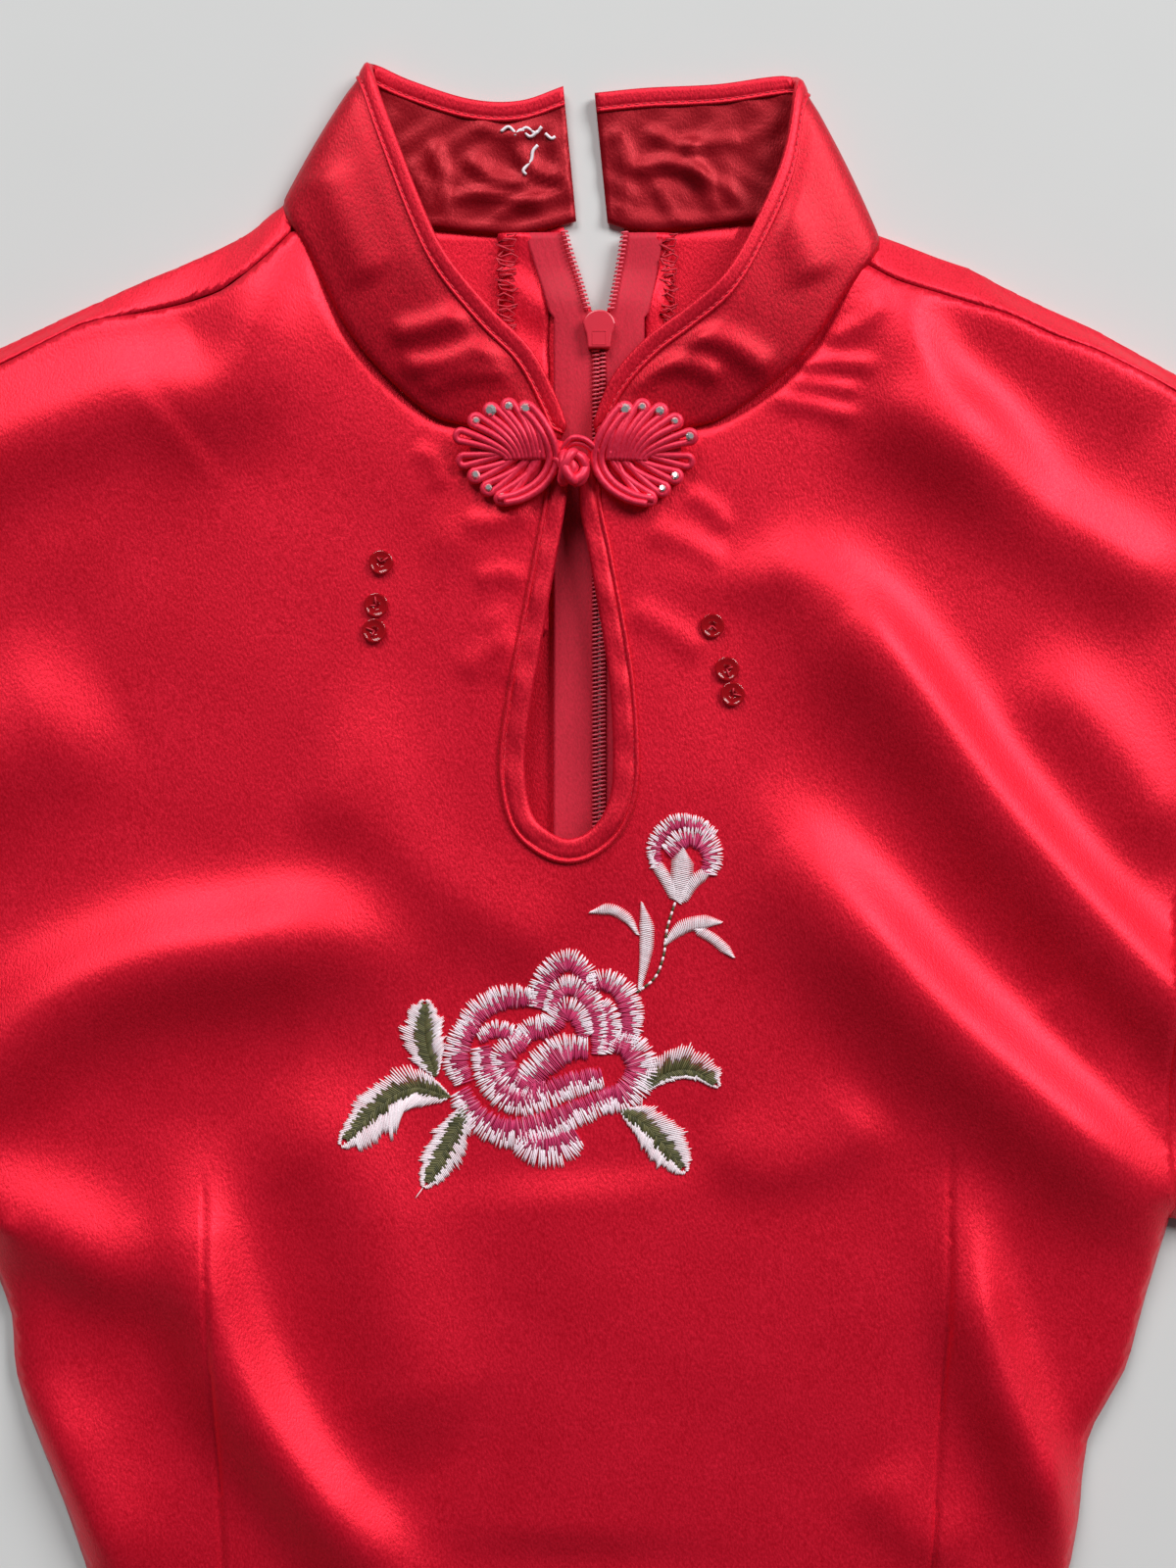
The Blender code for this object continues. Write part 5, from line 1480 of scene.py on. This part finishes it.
knot_z = float(frog_z(-2.0, -11.6)[0]) + 4.6
t = np.linspace(0, 2 * math.pi, 181)[:-1]
lon, lat = 2 * t, 0.85 * np.sin(3 * t)
swell = 1 + 0.16 * np.cos(6 * t + 0.6)
weave = np.column_stack([
    -2.0 + 3.5 * swell * np.cos(lat) * np.cos(lon),
    -11.4 + 6.0 * swell * np.sin(lat),
    knot_z + 2.9 * swell * np.cos(lat) * np.sin(lon),
])
core = tube_parts([(-2.0, -15.5, knot_z), (-2.0, -11.4, knot_z), (-2.0, -7.5, knot_z)], (1.0, 2.6, 1.0), 10)
tail = smooth_path(
    [
        (-6.8, -8.6, knot_z - 1.5),
        (-5.6, -9.6, knot_z - 0.6),
        (-4.2, -12.2, knot_z + 0.2),
        (-2.6, -15.0, knot_z + 0.9),
        (-0.6, -14.4, knot_z + 1.3),
    ],
    0.6,
)
knot = make(
    "knot",
    *merged([core, tube_parts(weave, 1.45, 9, closed=True), tube_parts(tail, 1.1, 8)]),
    CORD,
    outwards=True,
)
loop_parts = []
for shift, rise in ((0.0, 1.4), (1.5, 1.9)):
    loop = smooth_path(
        [
            (7.0, -9.5 + shift),
            (4.6, -6.8 + shift),
            (1.8, -4.8 + shift),
            (-1.6, -4.4 + shift),
            (-4.2, -6.4 + shift * 0.8),
            (-5.8, -9.0 + shift * 0.5),
        ],
        0.8,
    )
    hump = np.sin(np.linspace(0, math.pi, len(loop))) * 1.6
    loop_parts.append(
        tube_parts(np.column_stack([loop, frog_z(loop[:, 0], loop[:, 1]) + rise + hump]), 0.85, 8)
    )
loop = make("loop", *merged(loop_parts), CORD, outwards=True)
print("frog", len(frogs[0][0].data.polygons), len(stones.data.polygons))

# %% [markdown]
# ## Sequins
#
# Six cupped discs are sewn on in two short rows, each held by a stitch through its hole.

# %% Sequins and their stitches
SEQUIN_SIDES = 32
SEQUINS = ((-58.6, -38.6), (-60, -51.3), (-60.6, -58.9), (39.7, -57.4), (44.1, -70.2), (45.8, -77.7))
turn = np.linspace(0, 2 * math.pi, SEQUIN_SIDES + 1)[:-1]
section = (
    (0.75, 0.35), (0.75, 0.8), (1.6, 1.05), (2.3, 0.85), (2.9, 1.35), (3.5, 1.5), (3.65, 1.1), (3.2, 0.6),
    (2.2, 0.3),
)
rings = [[(r * math.cos(a), r * math.sin(a), h) for a in turn] for r, h in section]
ring_faces = grid_faces(len(section), SEQUIN_SIDES, closed=True)
last = (len(section) - 1) * SEQUIN_SIDES
ring_faces += [
    (last + j, last + (j + 1) % SEQUIN_SIDES, (j + 1) % SEQUIN_SIDES, j) for j in range(SEQUIN_SIDES)
]
DISC = template("disc_shape", np.array(rings).reshape(-1, 3), ring_faces)
spots = on_front(SEQUINS, 0.05)
slopes = []
for x, y in SEQUINS:
    rise_x = float(front_z(x + 2, y)[0] - front_z(x - 2, y)[0]) / 4
    rise_y = float(front_z(x, y + 2)[0] - front_z(x, y - 2)[0]) / 4
    slopes.append((math.atan(rise_y), -math.atan(rise_x), 0.0))
sequins = repeated("sequins", DISC, spots, slopes, np.ones((len(SEQUINS), 3)), SEQUIN)
ties = []
for k, (x, y, z) in enumerate(spots):
    a = 0.6 + 1.1 * k
    dx, dy = math.cos(a), math.sin(a)
    ahead = [(x + dx * r, y + dy * r, z + h) for r, h in ((0, 0.3), (0.6, 1.35), (1.7, 1.45), (2.6, 0.9))]
    aside = [(x - dy * r, y + dx * r, z + h) for r, h in ((0, 0.3), (0.7, 1.3), (1.8, 1.3))]
    ties += [tube_parts(ahead, 0.24, 6), tube_parts(aside, 0.24, 6)]
sequin_ties = make("sequin_ties", *merged(ties), STITCHES, outwards=True)

# %% [markdown]
# ## Embroidery
#
# The flower is worked in satin stitch. Every petal edge is a band of threads laid side by side across it,
# pale ones from the outside and deep ones from the inside, uneven where they meet. Leaves have a dark
# middle and a pale saw-toothed rim. So the whole design is drawn as bands and leaves, and filled with
# thousands of single threads.

# %% Threads across a band
FLOWER = np.array((-8.1, -185.6))
PETALS = (
    (((-4.5, 15), (-2.6, 23), (4.2, 28.8), (9.8, 26), (11.8, 20.5)), 4.6, 1),
    (((-0.5, 13.5), (2.4, 20.4), (8.2, 20.6), (13.0, 15), (14.6, 8), (14.2, 1)), 4.4, 1),
    (((10.8, 21.4), (16.5, 22.8), (22.2, 18.6), (24.0, 10), (22.0, 2.5)), 5.0, 1),
    (((-26.2, 6.5), (-22.2, 13.4), (-14, 17.6), (-5.0, 17.8)), 5.4, 1),
    (((-26.0, -7.5), (-28.4, -1), (-26.4, 6.6), (-22.6, 9.4)), 5.4, 1),
    (((-10.5, 3.8), (-6.5, 8.0), (-0.5, 9.4), (3.4, 14.4), (8.0, 13.0), (10.8, 6.4)), 5.2, 1),
    (((-21.4, 5.6), (-16.4, 8.4), (-10.8, 6.6), (-6.8, 4.2)), 3.6, 1),
    (((-9.2, 4.6), (-14.6, 0.4), (-13.6, -5.4), (-7.0, -9.4), (-1.8, -9.6)), 5.8, -1),
    (((-8.6, -8.4), (-3.2, -2.6), (3.2, 2.2), (10.8, 2.6)), 6.6, 1),
    (((-20.6, 3.0), (-18.6, -6.4), (-11.0, -13.2), (-1.4, -11.4), (6.0, -8.4), (15.2, -6.2)), 6.0, -1),
    (((-27.2, -10.2), (-23.0, -17.4), (-13.0, -22.6), (-1.0, -20.4), (10.0, -15.6), (18.6, -12.0)),
     6.4, -1),
    (((-9.6, -24.4), (-4.6, -27.2), (2.6, -27.0), (8.0, -23.6)), 7.2, -1),
    (((15.0, -13.4), (22.6, -11.4), (27.2, -4.0), (24.4, 2.6), (19.0, 5.2)), 6.8, -1),
    (((16.0, 1.6), (18.6, 7.4), (17.4, 13.6), (15.6, 16.0)), 3.8, -1),
)
BUD = (
    (((23.2, -129.0), (22.8, -122.0), (28.0, -116.2), (35.0, -116.0), (40.2, -119.6)), 3.4, 1),
    (((26.4, -124.6), (30.8, -120.4), (36.6, -120.6), (39.8, -125.2), (38.6, -131.2)), 4.8, 1),
)
THREAD_LIFT = 0.28
threads = {"start": [], "end": [], "shade": [], "thick": []}


def lay(start, end, shade, thick=0.48):
    threads["start"].append(start)
    threads["end"].append(end)
    threads["shade"].append(shade)
    threads["thick"].append(thick)


def petal_band(path, width, side, offset=(0, 0)):
    """Pale threads from the band's outside, deep ones from its inside. side is +1 if left is outside."""
    path = evenly(smooth_path(np.array(path, float) + offset, 0.3), 0.5)
    forward = unit(np.gradient(path, axis=0))
    out = left_of(path) * side
    count = len(path)
    swell = 0.76 * width * (0.72 + 0.28 * np.sin(math.pi * (np.arange(count) + 0.5) / count))
    for k, (p, o, f, w) in enumerate(zip(path, out, forward, swell)):
        lean = f * random.uniform(-0.5, 0.5)
        meet = random.uniform(-0.5, 0.4) * w
        rim = w * random.uniform(0.85, 1.1)
        lay(p + o * rim + lean, p + o * meet, random.uniform(0, 0.25), random.uniform(0.4, 0.54))
        lay(
            p + o * (meet + 0.25 * w),
            p - o * w * random.uniform(0.8, 1.05) - lean * 0.5,
            random.uniform(0.58, 1.0),
            0.46,
        )


def leaf(spine, left, right, dark_left, dark_right, teeth=3.0):
    """Threads slant from the spine to a saw-toothed rim, dark near the spine. Widths are in mm a side."""
    path = evenly(smooth_path(spine, 0.3), 0.56)
    forward = unit(np.gradient(path, axis=0))
    beside = left_of(path)
    count = len(path)
    for k in range(count):
        t = (k + 0.5) / count
        full = math.sin(math.pi * t**0.8) ** 0.75 + 0.08
        for sign, width, dark in ((1, left, dark_left), (-1, right, dark_right)):
            saw = 1 + 0.26 * ((t * teeth + (0.4 if sign > 0 else 0)) % 1.0) - 0.1
            reach = width * full * saw
            across = beside[k] * sign * 0.86 + forward[k] * 0.5
            split = min(dark * (0.4 + 0.7 * full) * random.uniform(0.6, 1.3), reach * 0.8)
            spot = path[k]
            if t < 0.94:
                lay(spot - across * 0.5, spot + across * split, random.uniform(0.68, 1.0), 0.5)
            rim = spot + across * reach * random.uniform(0.88, 1.08)
            lay(
                spot + across * max(split - 0.7, 0.0),
                rim,
                random.uniform(0, 0.35),
                random.uniform(0.4, 0.54),
            )


def sprig(path, width, taper_start=0.35):
    """Threads side by side across a narrow leaf that thins to its tip."""
    path = evenly(smooth_path(path, 0.3), 0.55)
    forward = unit(np.gradient(path, axis=0))
    beside = left_of(path)
    count = len(path)
    for k in range(count):
        t = k / count
        w = 0.5 * width * min(1, (1 - t) * 3.5 + 0.06, t / taper_start * 0.75 + 0.25)
        slant = forward[k] * 0.45
        lay(
            path[k] + beside[k] * w + slant,
            path[k] - beside[k] * w - slant,
            random.uniform(0, 0.3),
            random.uniform(0.38, 0.52),
        )


def thread_piece(name, finish):
    """One mesh of the threads laid so far, which empties the list."""
    starts = on_front(threads["start"], THREAD_LIFT)
    ends = on_front(threads["end"], THREAD_LIFT)
    middles, turns, lengths = between(starts, ends)
    thick = np.array(threads["thick"])
    sizes = np.column_stack([lengths + 0.2, thick, np.minimum(0.42 + lengths * 0.05, 0.7)])
    made = repeated(name, THREAD, middles, turns, sizes, finish, threads["shade"])
    for values in threads.values():
        values.clear()
    return made


# %% Work the flower, the bud and the leaves
for path, width, side in PETALS:
    petal_band(path, width, side, FLOWER)
for path, width, side in BUD:
    petal_band(path, width, side)
petals = thread_piece("embroidered_petals", PETAL)
leaf(((-42.4, -191.0), (-45.2, -181.0), (-45.6, -169.0)), 7.0, 6.0, 3.0, 2.6)
leaf(((-38.4, -197.2), (-49.0, -194.6), (-59.0, -200.0), (-69.8, -210.6)), 9.6, 6.6, 2.6, 3.2)
leaf(((-33.0, -200.0), (-38.0, -210.0), (-45.4, -223.6)), 6.2, 6.0, 2.8, 2.8)
leaf(((19.2, -195.6), (26.0, -190.6), (34.0, -189.6), (41.4, -194.4)), 7.2, 3.0, 3.6, 2.2)
leaf(((13.0, -201.6), (21.0, -206.6), (31.8, -219.4)), 7.2, 6.4, 2.6, 2.6)
leaves = thread_piece("embroidered_leaves", LEAF)
sprig(((17.6, -149.0), (14.6, -144.4), (9.6, -141.6), (3.6, -142.4)), 3.2)
sprig(((18.2, -165.4), (20.0, -155.0), (20.4, -147.0), (19.0, -139.8)), 4.2, 0.5)
sprig(((25.6, -152.0), (30.6, -147.2), (36.4, -145.6), (42.4, -145.6)), 4.2)
sprig(((35.0, -147.6), (40.4, -150.6), (46.0, -155.8)), 3.0, 0.1)
sprig(((29.6, -139.2), (25.4, -131.6), (21.2, -125.4)), 3.6, 0.1)
sprig(((30.0, -139.6), (30.8, -131.0), (31.2, -123.6)), 6.6, 0.15)
sprig(((30.4, -139.2), (34.4, -133.4), (40.0, -129.8)), 3.8, 0.1)
whites = thread_piece("embroidered_sprigs", LEAF)
stem = evenly(
    smooth_path(((28.8, -139.6), (26.4, -147.6), (25.4, -155.4), (22.8, -162.0), (17.4, -166.4)), 0.5),
    1.35,
)
for k, (a, b) in enumerate(zip(stem, stem[1:])):
    lay(a, b, 0.95 if k % 2 else 0.3, 0.85)
for a, b in (
    ((-45.0, -190.2), (-45.6, -194.0)), ((-37.0, -200.4), (-32.4, -200.6)),
    ((19.0, -197.4), (18.8, -201.8)), ((-46.0, -224.0), (-48.2, -227.0)),
):
    lay(np.array(a), np.array(b), 0.4, 0.35)
stems = thread_piece("embroidered_stem", LEAF)
print("embroidery", [len(p.data.polygons) for p in (petals, leaves, whites, stems)])

# %% [markdown]
# ## Surface, light and camera
#
# The dress lies on a pale surface in soft light from above the collar, and the camera looks straight
# down.

# %% Floor and light


def aim(thing, target):
    thing.rotation_euler = (Vector(target) - thing.location).to_track_quat("-Z", "Y").to_euler()


def soft_light(name, where, target, size, power):
    """A round window's worth of soft light."""
    data = bpy.data.lights.new(name, "AREA")
    data.shape = "DISK"
    data.size = size
    data.energy = power
    made = linked(name, data)
    made.location = where
    aim(made, target)


floor_mesh = bpy.data.meshes.new("floor")
FLOOR_HALF = 6
corners = [(x * FLOOR_HALF, y * FLOOR_HALF, 0) for x, y in ((-1, -1), (1, -1), (1, 1), (-1, 1))]
floor_mesh.from_pydata(corners, [], [(0, 1, 2, 3)])
floor_mesh.materials.append(plain_finish("pale_floor", (0.72, 0.725, 0.72), 0.8, 0.0, 0.02, 30.0))
floor = linked("floor", floor_mesh)
floor.location.z = -0.0004
world = bpy.data.worlds.new("studio")
bpy.context.scene.world = world
world.use_nodes = True
world.node_tree.nodes["Background"].inputs["Color"].default_value = (0.96, 0.98, 1.0, 1)
world.node_tree.nodes["Background"].inputs["Strength"].default_value = 0.07
BODICE = (0, 0.1, 0)
soft_light("window", (-1.5, 4.9, 3.8), BODICE, 3.4, 242)
soft_light("second_window", (3.9, 3.6, 3.7), BODICE, 3.2, 305)

# %% Camera
camera_data = bpy.data.cameras.new("camera")
camera_data.lens = 50
camera_data.sensor_fit = "VERTICAL"
camera_data.sensor_height = 36
camera = linked("camera", camera_data)
camera.location = (0.0009, 0.2908, 0.656)
bpy.context.scene.camera = camera
bpy.context.scene.view_settings.view_transform = "Standard"

# %% [markdown]
# ## What each piece stands for
#
# Every piece rides the dress, but for the tab, which swings on the slider. Each stands for a solid of the
# frame and hides it, and the sheets of cloth print how large they are.

# %% Tie the pieces to the frame
STANDS_FOR = (
    (front, ("front_panel",), "red_satin"),
    (backs[0], ("back_left",), "red_satin"),
    (backs[1], ("back_right",), "red_satin"),
    (sleeves[0], ("sleeve_left",), "red_satin"),
    (sleeves[1], ("sleeve_right",), "red_satin"),
    (collars[0], ("collar_left",), "collar_satin"),
    (collars[1], ("collar_right",), "collar_satin"),
    (bands[0], ("collar_binding_left",), "bound_edge"),
    (bands[1], ("collar_binding_right",), "bound_edge"),
    (keyhole, ("keyhole_binding",), "bound_edge"),
    (frogs[0][0], ("frog_shell_left",), "satin_cord"),
    (frogs[1][0], ("frog_shell_right",), "satin_cord"),
    (knot, ("knot_button",), "satin_cord"),
    (loop, ("frog_loop",), "satin_cord"),
    (tapes[0], ("zip_tape_left",), "zip_tape"),
    (tapes[1], ("zip_tape_right",), "zip_tape"),
    (coils, ("zip_coil_left", "zip_coil_right", "zip_chain"), "nylon_coil"),
    (slider, ("zip_slider",), "painted_slider"),
    (tab, ("zip_pull",), "painted_slider"),
)
ADDED = (
    *allowances, overlock, loose_ends, seam_stitches, coil_thread, stones, sequins, sequin_ties,
    petals, leaves, whites, stems,
)
for piece, nodes, slot in STANDS_FOR:
    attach(piece, "zip_pull" if piece is tab else "dress")
    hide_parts(*nodes)
for piece in ADDED:
    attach(piece, "dress")
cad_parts["zip_bottom_stop"].data.materials[0] = PAINT


def area_of(piece):
    """The area of one face of a walled sheet."""
    return sum(face.area for face in piece.data.polygons) / 2


for piece in (front, *backs, *sleeves, *collars, keyhole, *tapes, *allowances):
    places = np.array([v.co for v in piece.data.vertices])
    print(piece.name, "area", round(area_of(piece), 4), "size", np.round(np.ptp(places, axis=0), 3))
